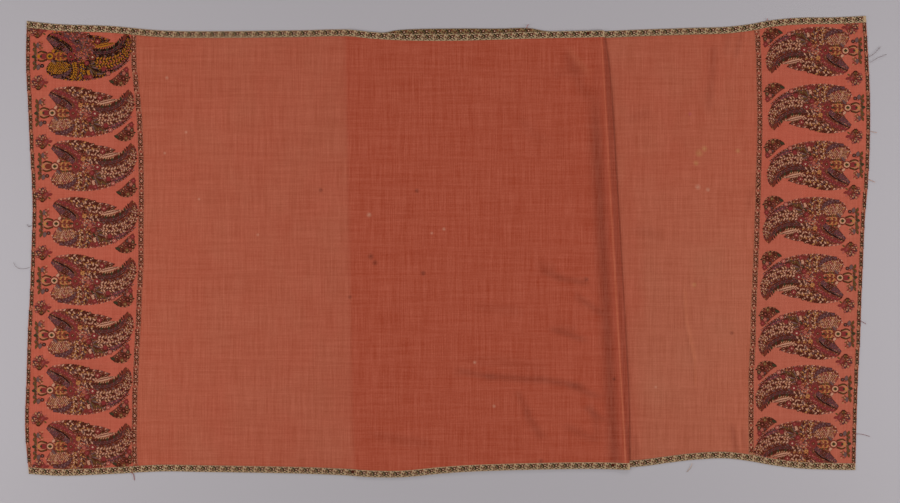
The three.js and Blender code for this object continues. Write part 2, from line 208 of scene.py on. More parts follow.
@dataclass(frozen=True)
class Layout:
    """How the shawl lies: its walls, its strips, and where the cloth bends.

    Lines across the shawl give x from y, and lines along it give y from x.
    """

    cloth: float = 1.2
    edging: float = 1.8
    gap: float = 0.3
    border: float = 15.0
    outer_guard: float = 9.0
    inner_guard: float = 12.0
    end_width: float = 254.0
    ramp: float = 13.0
    ramp_top: float = 1.0
    crest_run: float = 30.0

    @property
    def ground_end(self) -> float:
        """Where the paisley ground ends, from the shawl's end."""
        return self.end_width - self.inner_guard

    @property
    def inset(self) -> float:
        """From a long edge to the panels inside its border."""
        return self.border + self.gap

    def upper_height(self, x: Array, y: Array) -> Array:
        """Gives the upper stretch's underside, as far as the crest."""
        climb = ease((x - HIDDEN_FOLD(y) + self.ramp - self.ramp_top) / self.ramp)
        roll = ease(1 - (CREST(y) - x) / self.crest_run)
        return (2 * self.cloth + self.gap) * climb + RISE(y) * roll

    def roll_height(self, part: float) -> Height:
        """Gives the underside beyond the crest, at one part of the roll from 0 to 8.

        Args:
            part: The part.

        Returns:
            Its height at any place.
        """
        low = self.edging + self.gap + self.cloth

        def height(x: Array, y: Array) -> Array:
            """Gives the height at some points."""
            return low + ROLL_HEIGHT(part) * (self.upper_height(CREST(y), y) - low)

        return height

    def roll_place(self, part: float) -> Line:
        """Gives the x of one part of the roll."""
        return lambda y: CREST(y) + ROLL_ACROSS(part) * (REACH(y) - self.cloth)

    @staticmethod
    def creases(x: Array, y: Array) -> Array:
        """Gives how far all the creases lift the cloth."""
        return sum(crease.rise * crease.swell(x, y) for crease in CREASES)

    @staticmethod
    def on_hidden(x: Array, y: Array) -> Array:
        """Tells how far the cloth lies on the hidden layers, from 0 to 1."""
        return ease((x - HIDDEN_FOLD(y) + 14) / 18) * ease((CREST(y) + REACH(y) + 2 - x) / 3)

    @staticmethod
    def greyed(x: Array, y: Array) -> Array:
        """Tells where the lower stretch has faded to a greyer tone, from 0 to 1.

        Args:
            x: Places along the shawl.
            y: Places across it.

        Returns:
            How grey it is there.
        """
        over_all = ease((x - CREST(y) - 45) / 40) * ease((230 - y) / 350)
        beside_roll = np.exp(-(((x - CREST(y) - 50) / 20) ** 2)) * ease((-120 - y) / 120)
        patches = sum(np.exp(-((x - a) ** 2 + (y - b) ** 2) / 45**2) for a, b in GREYED_PATCHES)
        return np.clip(0.5 * over_all + 0.35 * beside_roll + 0.3 * patches, 0, 1)

    @staticmethod
    def worn(x: Array, y: Array) -> Array:
        """Tells where the roll's crest and some creases are painted pale, from 0 to 1: partly wear, partly a
        painted highlight.
        """
        # A thin pale line along the crest and some creases: partly wear, partly a painted highlight.
        crest = np.exp(-(((x - CREST(y) - 0.6) / 1.2) ** 2)) * (0.55 + 0.45 * ease((300 - y) / 500))
        return np.clip(crest + sum(c.rubbed_and_highlit * c.swell(x, y) for c in CREASES if c.rubbed_and_highlit), 0, 1)

    @staticmethod
    def shaded(x: Array, y: Array) -> Array:
        """Tells where shade is painted into the cloth's colour beside the crest, from 0 to 1.

        Args:
            x: Places along the shawl.
            y: Places across it.

        Returns:
            How deep the painted shade is there.
        """
        # Painted shade: a band before the crest where the cloth climbs to it, a band past it where the roll
        # turns under, ending in a painted shadow that the roll casts on the lower stretch, and a dark flank
        # on one side of each crease.
        before = np.exp(-(((x - CREST(y) + 25) / 15) ** 2)) * ease((420 - y) / 200)
        past = ease((x - CREST(y) - 2.5) / 3) * ease((CREST(y) + REACH(y) + 4 - x) / 2.5)
        pinched = sum(0.16 * crease.rise * crease.swell(x, y, 1.0) for crease in CREASES)
        return np.clip(0.72 * before + (0.6 + 0.1 * ease((y - 200) / 100)) * past + pinched, 0, 1)


LAY = Layout()
# The cloth's tones by attribute: redder over the folded layers, greyer where faded, painted shade beside the
# crest and creases, and a pale line along the crest that is partly wear and partly a painted highlight.
TONES = {"stacked": LAY.on_hidden, "greyed": LAY.greyed, "worn": LAY.worn, "shaded": LAY.shaded}


@dataclass(frozen=True)
class Column:
    """A section across the shawl: where it lies, and how high the cloth's underside is there."""

    place: Line
    height: Height
    creased: bool = True


def level_at(height: float) -> Height:
    """Gives a height that is the same everywhere."""
    return lambda x, y: np.full_like(x, height)


def shifted(line: Line, by: float) -> Line:
    """Moves a line across the shawl along X."""
    return lambda y: line(y) + by


def within_borders(bottom: Line, top: Line) -> tuple[Line, Line]:
    """Gives the lines where the panels meet the lower and the upper border."""
    return shifted(bottom, LAY.inset), shifted(top, -LAY.inset)


def from_left(offset: float) -> Line:
    """Gives the line at one distance from the left end."""
    strays = offset >= LAY.ground_end - LAY.gap
    return lambda y: LEFT_END(y) + offset + strays * LEFT_DRIFT(y)


def from_right(offset: float) -> Line:
    """Gives the line at one distance from the right end."""
    strays = offset >= LAY.ground_end - LAY.gap
    return lambda y: RIGHT_END(y) - offset + strays * RIGHT_DRIFT(y)


def between(first: Line, last: Line, cells: int, height: Height, skip_first: bool = False,
        creased: bool = True) -> list[Column]:
    """Spaces columns evenly from one line to another.

    Args:
        first: The line to start at.
        last: The line to end at.
        cells: How many steps.
        height: The underside's height.
        skip_first: Leaves out the first column, where another row of them ends.
        creased: Whether the creases lift the cloth here.

    Returns:
        The columns.
    """

    def mixed(share: float) -> Line:
        """Gives the line at one share of the way."""
        return lambda y: first(y) * (1 - share) + last(y) * share

    shares = np.linspace(0, 1, cells + 1)[1 if skip_first else 0 :]
    return [Column(mixed(float(share)), height, creased) for share in shares]


def crossed(columns: Sequence[Column], low: Line, high: Line, shares: Array) -> Array:
    """Finds the underside's points where columns cross the rows between two lines along the shawl.

    Args:
        columns: The sections across the shawl.
        low: The first row's line.
        high: The last row's line.
        shares: The rows, from 0 at the first to 1 at the last.

    Returns:
        Points in millimetres, as rows by columns by three.
    """
    points = np.zeros((len(shares), len(columns), 3))
    for c, column in enumerate(columns):
        y = low(np.zeros_like(shares)) * (1 - shares) + high(np.zeros_like(shares)) * shares
        for _ in range(SETTLING_ROUNDS):
            x = column.place(y)
            y = low(x) * (1 - shares) + high(x) * shares
        x = column.place(y)
        z = column.height(x, y)
        if column.creased:
            z = z + LAY.creases(x, y)
        points[:, c] = np.column_stack([x, y, z])
    return points


def moved_out(points: Array, wall: float | Array) -> Array:
    """Moves a grid of points out by a wall, square to its rows.

    Args:
        points: The points, rows by columns by three.
        wall: How far, everywhere or for each row.

    Returns:
        The moved points.
    """
    fore = np.concatenate([points[:, 1:], points[:, -1:]], axis=1)
    aft = np.concatenate([points[:, :1], points[:, :-1]], axis=1)
    way = fore - aft
    run = np.maximum(np.hypot(way[..., 0], way[..., 2]), 1e-9)
    out = points.copy()
    out[..., 0] -= wall * way[..., 2] / run
    out[..., 2] += wall * way[..., 0] / run
    return out


def framed(points: Array) -> Array:
    """Turns millimetres on the drawing into metres in the frame."""
    return (points - np.array([*DRAWING_MIDDLE, 0.0])) * MM


# ---------- Pieces ----------


def linked(name: str, data: bpy.types.ID) -> Object:
    """Puts a mesh, a lamp or a camera into the scene at the origin."""
    thing = bpy.data.objects.new(name, data)
    bpy.context.scene.collection.objects.link(thing)
    return thing


def report(piece: Object) -> Object:
    """Logs a piece and lets it ride on the shawl's one body."""
    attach(piece, BODY)
    log.info("%s: %d faces", piece.name, len(piece.data.polygons))
    return piece


def smooth(name: str, points: Array, faces: Sequence[Sequence[int]], finish: Material) -> Object:
    """Makes a smooth piece.

    Args:
        name: Its name.
        points: Its points, in millimetres on the drawing.
        faces: Its faces.
        finish: Its material.

    Returns:
        The piece.
    """
    mesh = bpy.data.meshes.new(name)
    mesh.from_pydata(framed(points).tolist(), [], faces)
    mesh.polygons.foreach_set("use_smooth", [True] * len(mesh.polygons))
    mesh.materials.append(finish)
    mesh.update()
    return linked(name, mesh)


def sheet(
    node: str, outer: Array, inner: Array, finish: Material,
    toned: bool = True,
) -> Object:
    """Makes one of the shawl's pieces, a closed sheet of cloth between two grids of points.

    Args:
        node: The CAD node that it stands for.
        outer: The upper side's points, rows by columns by three, in millimetres.
        inner: The underside's points.
        finish: Its material.
        toned: Stores the tones that its finish reads.

    Returns:
        The piece.
    """
    rows, columns = outer.shape[:2]
    over = np.arange(rows * columns).reshape(rows, columns)
    under = over + rows * columns
    sides = (
        (over[:-1, :-1], over[:-1, 1:], over[1:, 1:], over[1:, :-1]),
        (under[:-1, :-1], under[1:, :-1], under[1:, 1:], under[:-1, 1:]),
        (over[:-1, 0], over[1:, 0], under[1:, 0], under[:-1, 0]),
        (under[:-1, -1], under[1:, -1], over[1:, -1], over[:-1, -1]),
        (under[0, :-1], under[0, 1:], over[0, 1:], over[0, :-1]),
        (over[-1, :-1], over[-1, 1:], under[-1, 1:], under[-1, :-1]),
    )
    faces = np.vstack([np.stack(corners, axis=-1).reshape(-1, 4) for corners in sides])
    points = np.vstack([outer.reshape(-1, 3), inner.reshape(-1, 3)])
    piece = smooth(f"shawl_{node}", points, faces.tolist(), finish)
    for tone, share in TONES.items() if toned else ():
        values = share(points[:, 0], points[:, 1]).astype(np.float32)
        piece.data.attributes.new(tone, "FLOAT", "POINT").data.foreach_set("value", values)
    piece.data.set_sharp_from_angle(angle=SHARP)
    piece.data.update()
    report(piece)
    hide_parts(node)
    return piece


# ---------- Finishes ----------


def linear(hex_colour: str) -> tuple[float, float, float, float]:
    """Turns an sRGB hex colour into linear RGBA."""
    parts = [int(hex_colour.lstrip("#")[i : i + 2], 16) / 255 for i in (0, 2, 4)]
    r, g, b = [p / 12.92 if p <= 0.04045 else ((p + 0.055) / 1.055) ** 2.4 for p in parts]
    return (r, g, b, 1.0)


def add(
    tree: bpy.types.NodeTree, kind: str, inputs: dict[int | str, object] | None = None, give: int | str = 0,
    **settings: object,
) -> Socket | None:
    """Adds a node and gives one of its outputs.

    Args:
        tree: The node tree.
        kind: The node's type; a shader's may leave out its "ShaderNode".
        inputs: Values or links by input name or number.
        give: The name or number of the output.
        **settings: The node's own properties.

    Returns:
        The output, if the node has any.
    """
    node = tree.nodes.new(kind if "Node" in kind else f"ShaderNode{kind}")
    for key, value in settings.items():
        setattr(node, key, value)
    for key, value in (inputs or {}).items():
        if isinstance(value, Socket):
            tree.links.new(value, node.inputs[key])
        else:
            node.inputs[key].default_value = value
    return node.outputs[give] if node.outputs else None


class Recipe:
    """A node material in the making."""

    def __init__(self, name: str) -> None:
        """Starts an empty material.

        Args:
            name: Its name.
        """
        self.material = bpy.data.materials.new(name)
        self.material.use_nodes = True
        self.material.node_tree.nodes.clear()
        self.add = partial(add, self.material.node_tree)

    def math(self, operation: str, *values: object) -> Socket:
        """Adds a sum of one kind or another."""
        return self.add("Math", dict(enumerate(values)), operation=operation)

    def vector(self, operation: str, *values: object) -> Socket:
        """Adds a sum of vectors."""
        return self.add("VectorMath", dict(enumerate(values)), operation=operation)

    def ranged(self, *values: object) -> Socket:
        """Maps a value from a low and a high to another low and high."""
        return self.add("MapRange", dict(enumerate(values)))

    def mix(self, share: object, under: object, over: object) -> Socket:
        """Lays one colour over another by a share."""
        return self.add("Mix", {0: share, 6: under, 7: over}, 2, data_type="RGBA")

    def noise(self, place: Socket, scale: float, **more: float) -> Socket:
        """Adds noise in two octaves, or as more says."""
        return self.add("TexNoise", {"Vector": place, "Scale": scale, "Detail": 2.0, **more})

    def ribs(self, place: Socket, scale: float, **more: float) -> Socket:
        """Adds slanting ribs."""
        inputs = {"Vector": place, "Scale": scale, **more}
        return self.add("TexWave", inputs, "Fac", wave_type="BANDS", bands_direction="DIAGONAL")

    def surface(self, looks: dict[str, object], height: Socket | None = None, strength: float = 0.0,
            depth: float = 0.0) -> Material:
        """Ends the material in a surface.

        Args:
            looks: The shader's inputs by name.
            height: The bump's height, if it has one.
            strength: The bump's strength.
            depth: Its depth in metres.

        Returns:
            The material.
        """
        if height is not None:
            bump = {"Height": height, "Strength": strength, "Distance": depth}
            looks = {**looks, "Normal": self.add("Bump", bump)}
        self.add("OutputMaterial", {"Surface": self.add("BsdfPrincipled", looks)})
        return self.material


class SpotKind(Enum):
    """Marks of use, each with its colour."""

    PALE = "#c78f76"
    BROWN = "#63281a"
    YELLOWISH = "#b97e50"
    PINK = "#b0505a"


# Places and radii in millimetres on the drawing.
SPOTS = {SpotKind.PALE: ((-179, 74, 7), (-7, 41, 5), (-35, 32, 4), (64, -265, 5), (108, -366, 5),
    (-644, 389, 5), (-600, 264, 4), (-649, 216, 4), (-570, 110, 4), (-435, 28, 4), (480, -322, 4),
    (577, 138, 8), (600, 132, 6)), SpotKind.BROWN: ((-175, -22, 9), (-165, -36, 8), (-55, -60, 8),
    (-223, -115, 6), (-69, 129, 7), (-290, 131, 6), (216, -492, 7), (384, -303, 6), (655, -198, 6),
    (320, -74, 7)), SpotKind.YELLOWISH: ((580, 216, 11), (592, 226, 9), (669, 221, 7), (573, 193, 8),
    (568, -87, 7)), SpotKind.PINK: ((559, 306, 5),)}
FLAT = (1.0, 1.0, 0.0)
DEEPEST = (0.004, 0.004, 0.004)  # keeps the darkest yarns above black
WOOL = {"Roughness": 0.95, "Specular IOR Level": 0.08}


@dataclass(frozen=True)
class TwillFinish:
    """Fine goat's-wool twill, hand spun and plainly dyed: matt, with a soft nap and uneven yarns.

    The yarns' slubs show as faint lines both ways, a few millimetres apart; the twill's own ribs are half a
    millimetre apart and are drawn at 1.6 mm, as fine as they can show.
    """

    name: str
    dye: str
    faded: str
    stacked: str
    # The colour of the pale crest line, partly wear and partly a painted highlight, and the colour of the
    # painted shade beside the crest and creases.
    worn: str = "#cf7a58"
    shaded: str = "#873c29"
    weights: tuple[float, float, float, float, float] = (0.33, 0.21, 0.16, 0.15, 0.15)
    depth: float = 0.5
    swing: tuple[float, float, float] = (0.24, 0.1, 0.07)
    spots: bool = False

    def build(self) -> Material:
        """Makes the material.

        Returns:
            The material.
        """
        make = Recipe(self.name)
        place = make.add("TexCoord", give="Object")

        def streaks(x: float, y: float, low: float = 0.3, detail: float = 1.0) -> Socket:
            """Adds noise drawn out along one way, as a share from 0 to 1."""
            drawn = make.add("Mapping", {"Vector": place, "Scale": (x, y, 1.0)})
            noise = make.noise(drawn, 1.0, Detail=detail, Roughness=0.6)
            return make.ranged(noise, low, 1 - low, 0.0, 1.0)

        def tone(name: str) -> Socket:
            """Reads one of the cloth's tones."""
            return make.add("Attribute", give="Fac", attribute_name=name)

        warp, weft, grain = streaks(430, 15), streaks(17, 430), streaks(220, 220)
        bars, stripes = streaks(5, 120, 0.35), streaks(130, 5, 0.35)
        swing = -0.5
        for share, lines in zip(self.weights, (warp, weft, grain, bars, stripes)):
            swing = make.math("ADD", make.math("MULTIPLY", lines, share), swing)
        # The thin cloth looks denser where it lies on the folded layers.
        dense = make.ranged(tone("stacked"), 0.0, 1.0, 1.45 * self.depth, 1.65 * self.depth)
        swing = make.math("MULTIPLY", swing, dense)

        mottle = make.math("MULTIPLY", streaks(9, 7, 0.35, 3.0), 0.3)
        colour = make.mix(mottle, linear(self.dye), linear(self.faded))
        # Lays the tones over the dye: the redder cloth over the folded layers, greyer fading, painted shade
        # beside the crest, the roll's edge and the creases, and a pale line that is partly wear and partly a
        # painted highlight.
        for name, over, most in (
            ("stacked", self.stacked, 0.8),
            ("greyed", self.faded, 1.0),
            ("shaded", self.shaded, 0.9),
            ("worn", self.worn, 0.45),
        ):
            colour = make.mix(make.math("MULTIPLY", tone(name), most), colour, linear(over))
        if self.spots:
            colour = self._spotted(make, place, colour)
        # Thick yarns stand paler and thin ones deeper in the dye, so the lines swing greyer than it.
        colour = make.vector("MAXIMUM", make.vector("MULTIPLY_ADD", swing, self.swing, colour), DEEPEST)

        ribs = make.ribs(place, 196.0, Distortion=1.5, Detail=2.0, **{"Detail Scale": 3.0})
        height = make.math("ADD", make.math("ADD", warp, weft), make.math("MULTIPLY", ribs, 0.35))
        nap = {"Sheen Weight": 0.18, "Sheen Roughness": 0.5, "Sheen Tint": linear("#d9b09a")}
        looks = {"Base Color": colour, "Roughness": 0.92, "Specular IOR Level": 0.25, **nap}
        return make.surface(looks, height, 0.32, 0.0004)

    @staticmethod
    def _spotted(make: Recipe, place: Socket, colour: Socket) -> Socket:
        """Lays the small marks over the cloth's colour.

        Args:
            make: The material in the making.
            place: The place's socket.
            colour: The colour's socket.

        Returns:
            The colour with its marks.
        """
        blur = make.noise(place, 260.0)
        flat = make.vector("MULTIPLY", place, FLAT)
        for kind, spots in SPOTS.items():
            mask = 0.0
            for x, y, radius in spots:
                at = tuple(framed(np.array([x, y, 0.0])).tolist())
                far = make.add("VectorMath", {0: flat, 1: at}, "Value", operation="DISTANCE")
                mask = make.math("MAXIMUM", mask, make.ranged(far, radius * MM, 0.0, 0.0, 1.0))
            rough = make.math("MULTIPLY", mask, blur)
            share = make.add("Math", {0: rough, 1: 1.3}, operation="MULTIPLY", use_clamp=True)
            colour = make.mix(share, colour, linear(kind.value))
        return colour


@dataclass(frozen=True)
class YarnFinish:
    """Dyed goat's-wool yarn in twill tapestry: one flat colour, matt, with a fine rib across it."""

    name: str
    dye: str

    def build(self) -> Material:
        """Makes the material.

        Returns:
            The material.
        """
        make = Recipe(self.name)
        ribs = make.ribs(make.add("TexCoord", give="Object"), 260.0, Distortion=2.0, Detail=1.0)
        return make.surface({**WOOL, "Base Color": linear(self.dye), "Sheen Weight": 0.02}, ribs, 0.3, 0.0003)


@dataclass(frozen=True)
class BorderFinish:
    """Narrow patterned wool braid: a tan and cream ground with an uneven, close weave."""

    name: str
    ground: str
    light: str
    shade: str

    def build(self) -> Material:
        """Makes the material.

        Returns:
            The material.
        """
        make = Recipe(self.name)
        place = make.add("TexCoord", give="Object")
        grain = make.noise(place, 420.0)
        fine = make.mix(grain, linear(self.shade), linear(self.light))
        colour = make.mix(make.noise(place, 45.0), fine, linear(self.ground))
        return make.surface({**WOOL, "Base Color": colour, "Sheen Weight": 0.04}, grain, 0.4, 0.0004)


# ---------- Woven figures ----------


class Thread(Enum):
    """Wool yarns of the woven figures, each with its dye."""

    DARK = "#4c2115"
    MAROON = "#713123"
    CRIMSON = "#802e2d"
    PINK = "#a4544a"
    PURPLE = "#5c373a"
    SLATE = "#6b4d49"
    OLIVE = "#614524"
    CREAM = "#c18c71"
    GOLD = "#b27745"
    ORANGE = "#ac5a38"
    WHITE = "#cfab90"
    YELLOW = "#aa6b1c"
    GREEN = "#3c3422"
    TAN = "#b47b59"
    BLACK = "#270f08"


(
    DARK, MAROON, CRIMSON, PINK, PURPLE, SLATE, OLIVE, CREAM, GOLD, ORANGE, WHITE, YELLOW, GREEN, TAN, BLACK,
) = Thread
Yarns = Sequence[Thread]
Point = tuple[float, float]
Points = Sequence[Point]
# A leaf's outline: shares of its length, and of half its width.
LEAF = ((0.0, 0.0), (0.2, 0.8), (0.5, 1.0), (0.8, 0.6), (1.0, 0.0), (0.8, -0.6), (0.5, -1.0), (0.2, -0.8))


class Motif:
    """A woven figure charted in flat shapes of coloured yarn, in millimetres.

    A figure's u runs from the shawl's end inwards and its v across. Later yarns lie a hair higher.
    """

    STEP = 0.05  # millimetres from one level to the next
    HAIR = 0.004  # keeps yarns of one level from lying in one plane where they cross
    HAIRS = 12
    FACET = 4.0  # of a band's or a ground's rim
    CELL = 8.0  # of a ground
    OUTLINE = 0.8  # how far a leaf's outline shows at its ends
    LEAF_EDGE, BAND_EDGE = 1.7, 1.8  # how much wider an outline is

    def __init__(self) -> None:
        """Starts an empty chart."""
        self.points: list[tuple[float, float, float]] = []
        self.faces: list[list[int]] = []
        self.threads: list[Thread] = []

    def face(self, outline: Points, thread: Thread, level: float) -> None:
        """Adds one flat shape, facing up.

        Args:
            outline: The shape's corners in order, either way round.
            thread: The yarn that it is woven in.
            level: How many steps it lies over the ground.
        """
        twice = sum(a[0] * b[1] - b[0] * a[1] for a, b in zip(outline, [*outline[1:], outline[0]]))
        if abs(twice) < 1e-6:
            return
        ordered = outline if twice > 0 else outline[::-1]
        first = len(self.points)
        height = level * self.STEP + self.HAIR * (len(self.faces) % self.HAIRS)
        self.points += [(u, v, height) for u, v in ordered]
        self.faces.append(list(range(first, first + len(ordered))))
        self.threads.append(thread)

    def leaf(self, root: Point, tip: Point, width: float, thread: Thread, level: float = 3,
            edge: Thread | None = None) -> None:
        """Adds a pointed leaf, with a darker leaf behind it if it has an edge.

        Args:
            root: Where the leaf springs from.
            tip: Where it ends.
            width: Its widest part.
            thread: Its yarn.
            level: Its level.
            edge: The yarn of its outline, or None.
        """
        du, dv = tip[0] - root[0], tip[1] - root[1]
        long = math.hypot(du, dv)
        if edge is not None:
            grow = self.OUTLINE / max(long, 0.1)
            behind = (root[0] - du * grow, root[1] - dv * grow)
            beyond = (tip[0] + du * grow, tip[1] + dv * grow)
            self.leaf(behind, beyond, width + self.LEAF_EDGE, edge, level - 0.5)
        nu, nv = -dv / long * width / 2, du / long * width / 2
        self.face([(root[0] + du * t + nu * w, root[1] + dv * t + nv * w) for t, w in LEAF], thread, level)

    def disc(self, middle: Point, radius: float, thread: Thread, level: float = 3, sides: int = 8,
            tall: float = 1.0) -> None:
        """Adds a round or an oval spot.

        Args:
            middle: Its middle.
            radius: Its radius along u.
            thread: Its yarn.
            level: Its level.
            sides: How many corners it has.
            tall: Its radius along v, as a share of the one along u.
        """
        u, v = middle
        turns = [2 * math.pi * (i + 0.5) / sides for i in range(sides)]
        rim = [(u + radius * math.cos(a), v + radius * tall * math.sin(a)) for a in turns]
        self.face(rim, thread, level)

    def flower(
        self, middle: Point, radius: float, petals: int, thread: Thread, heart: Thread, level: float = 4,
        edge: Thread | None = None,
    ) -> None:
        """Adds a rosette of petals round a heart.

        Args:
            middle: Its middle.
            radius: From the middle to the petals' tips.
            petals: How many petals it has.
            thread: The petals' yarn.
            heart: The yarn of the spot in the middle.
            level: Its level.
            edge: The yarn of the outline, or None.
        """
        u, v = middle
        turns = [2 * math.pi * i / (2 * petals) for i in range(2 * petals)]
        for grow, yarn, up in ((1.0, edge, level - 0.5), (0.0, thread, level)):
            if yarn is not None:
                reach = [(radius + grow) * (0.74 if i % 2 else 1.0) for i in range(2 * petals)]
                rim = [(u + r * math.cos(a), v + r * math.sin(a)) for a, r in zip(turns, reach)]
                self.face(rim, yarn, up)
        self.disc(middle, radius * 0.28, heart, level + 0.5, 6)

    def ring(
        self, middle: Point, radius: float, inner: float, thread: Thread, heart: Thread, level: float = 4
    ) -> None:
        """Adds a ringlet: a round of one yarn with a heart of another."""
        self.disc(middle, radius, thread, level)
        self.disc(middle, inner, heart, level + 0.5)

    def ribbon(
        self, spine: Points, widths: Sequence[float], thread: Thread, level: float = 2,
        edge: Thread | None = None,
    ) -> None:
        """Adds a band along a curve.

        Args:
            spine: Points that the band's middle runs through.
            widths: Its width at each of them.
            thread: Its yarn.
            level: Its level.
            edge: The yarn of its outline, or None.
        """
        if edge is not None:
            self.ribbon(spine, [w + self.BAND_EDGE for w in widths], edge, level - 0.5)
        line = along(spine, self.FACET)
        wide = np.interp(np.linspace(0, 1, len(line)), np.linspace(0, 1, len(widths)), widths) / 2
        sides = [
            ((p[0] - q[1] * w, p[1] + q[0] * w), (p[0] + q[1] * w, p[1] - q[0] * w))
            for (p, q), w in zip(line, wide)
        ]
        for (a, b), (c, d) in zip(sides, sides[1:]):
            self.face([a, c, d, b], thread, level)

    def sprays(
        self, spine: Points, pitch: float, size: Point, angle: float, threads: Yarns,
        level: float = 3, sides: Sequence[int] = (1, -1), edge: Thread | None = DARK, start: float = 0.6,
        last: float = 1.0,
    ) -> None:
        """Adds leaves along a curve, as on a stem.

        Args:
            spine: Points that the stem runs through.
            pitch: Distance between leaves.
            size: Length and width of a leaf.
            angle: Degrees between leaf and stem.
            threads: The yarns, taken in turn.
            level: Its level.
            sides: 1 for leaves on the left of the stem, -1 for the right.
            edge: The yarn of the outlines, or None.
            start: How far from the stem a leaf springs.
            last: The size of the last leaf, as a share of the first.
        """
        steps = along(spine, pitch)
        for i, (p, q) in enumerate(steps):
            grow = 1 + (last - 1) * (i / len(steps)) ** 2
            for side in sides:
                turn = math.radians(angle) * side
                du = q[0] * math.cos(turn) - q[1] * math.sin(turn)
                dv = q[0] * math.sin(turn) + q[1] * math.cos(turn)
                root = (p[0] - q[1] * start * side, p[1] + q[0] * start * side)
                tip = (root[0] + du * size[0] * grow, root[1] + dv * size[0] * grow)
                self.leaf(root, tip, size[1] * grow, threads[(i + (side < 0)) % len(threads)], level, edge)

    def scales(
        self, inside: Points, pitch: Point, size: float, threads: Yarns, level: float
    ) -> None:
        """Fills a field with staggered small spots, as fish scales.

        Args:
            inside: The field's corners.
            pitch: Steps along u and v.
            size: A spot's radius.
            threads: The yarns, taken by chance.
            level: Its level.
        """
        chance = np.random.default_rng(5)
        us, vs = zip(*inside)
        for r, v in enumerate(np.arange(min(vs), max(vs), pitch[1])):
            for u in np.arange(min(us) + 0.5 * (r % 2) * pitch[0], max(us), pitch[0]):
                x, y = (u, v) + chance.uniform(-0.1, 0.1, 2) * pitch
                grow, yarn = chance.uniform(0.85, 1.1), threads[chance.integers(len(threads))]
                if within((x, y), inside):
                    self.disc((x, y), size * grow, yarn, level, 6, 0.85)

    def specks(
        self, inside: Points, pitch: float, size: float, threads: Yarns, level: float, seed: int
    ) -> None:
        """Scatters single stitches of mixed yarns over a field, as fills the room between close figures.

        Args:
            inside: The field's corners.
            pitch: About how far apart they are.
            size: A stitch's half length.
            threads: The yarns, taken by chance.
            level: Its level.
            seed: Fixes the chances.
        """
        chance = np.random.default_rng(seed)
        us, vs = zip(*inside)
        for u in np.arange(min(us), max(us), pitch):
            for v in np.arange(min(vs), max(vs), pitch):
                x, y = (u, v) + chance.uniform(-0.5, 0.5, 2) * pitch
                grow, thin = chance.uniform(0.7, 1.3), chance.uniform(0.35, 0.8)
                turn, yarn = chance.uniform(0, math.pi), threads[chance.integers(len(threads))]
                if not within((x, y), inside):
                    continue
                reach = ((size * grow, 0.0), (0.0, size * thin), (-size * grow, 0.0), (0.0, -size * thin))
                cos, sin = math.cos(turn), math.sin(turn)
                self.face([(x + a * cos - b * sin, y + a * sin + b * cos) for a, b in reach], yarn, level)

    def redyed(self, old: Thread, new: Thread) -> "Motif":
        """Gives every stitch of one yarn another yarn, and returns the figure."""
        self.threads = [new if thread is old else thread for thread in self.threads]
        return self

    def ground(self, outline: Points, thread: Thread, level: float = 1) -> None:
        """Adds the plain ground of a figure, cut into small facets so that it can lie on the cloth.

        Args:
            outline: The ground's corners.
            thread: Its yarn.
            level: Its level.
        """
        rim = [p for p, _ in along([*outline, outline[0]], self.FACET)][:-1]
        us, vs = (np.arange(min(each), max(each), self.CELL) for each in zip(*rim))
        grid = [(u, v) for u in us for v in vs if within((u, v), rim)]
        loop = list(range(len(rim)))
        points, _, faces, *_ = delaunay_2d_cdt([Vector(p) for p in rim + grid], [], [loop], 1, 1e-5)
        for corners in faces:
            self.face([tuple(points[i]) for i in corners], thread, level)


def along(spine: Points, pitch: float) -> list[tuple[Point, Point]]:
    """Steps evenly along a smooth curve through points.

    Args:
        spine: The points.
        pitch: About how long a step is.

    Returns:
        The place and the unit direction at each step.
    """
    knots = np.array(spine, dtype=float)
    ends = np.vstack([2 * knots[0] - knots[1], knots, 2 * knots[-1] - knots[-2]])
    if np.allclose(knots[0], knots[-1]):
        ends = np.vstack([knots[-2], knots, knots[1]])
    t = np.linspace(0, 1, FINE_STEPS, endpoint=False)[:, None]
    fine = [0.5 * (2 * b + (c - a) * t + (2 * a - 5 * b + 4 * c - d) * t**2 + (3 * b - a - 3 * c + d) * t**3)
        for a, b, c, d in zip(ends, ends[1:], ends[2:], ends[3:])]
    line = np.vstack([*fine, knots[-1:]])
    run = np.concatenate([[0], np.cumsum(np.hypot(*np.diff(line, axis=0).T))])
    count = max(2, int(round(run[-1] / pitch)) + 1)
    stops = np.linspace(0, run[-1], count)
    places = np.column_stack([np.interp(stops, run, line[:, k]) for k in (0, 1)])
    near = 0.25 * min(pitch, 2.0)
    fore = np.column_stack([np.interp(np.minimum(stops + near, run[-1]), run, line[:, k]) for k in (0, 1)])
    aft = np.column_stack([np.interp(np.maximum(stops - near, 0), run, line[:, k]) for k in (0, 1)])
    way = fore - aft
    way /= np.maximum(np.hypot(*way.T), 1e-9)[:, None]
    return [((float(p[0]), float(p[1])), (float(q[0]), float(q[1]))) for p, q in zip(places, way)]


def within(point: Point, corners: Points) -> bool:
    """Tells whether a point lies inside a closed outline.

    Args:
        point: The point.
        corners: The outline's corners.

    Returns:
        Whether it does.
    """
    inside = False
    for (a, b), (c, d) in zip(corners, [*corners[1:], corners[0]]):
        if (b > point[1]) != (d > point[1]) and point[0] < (c - a) * (point[1] - b) / (d - b) + a:
            inside = not inside
    return inside


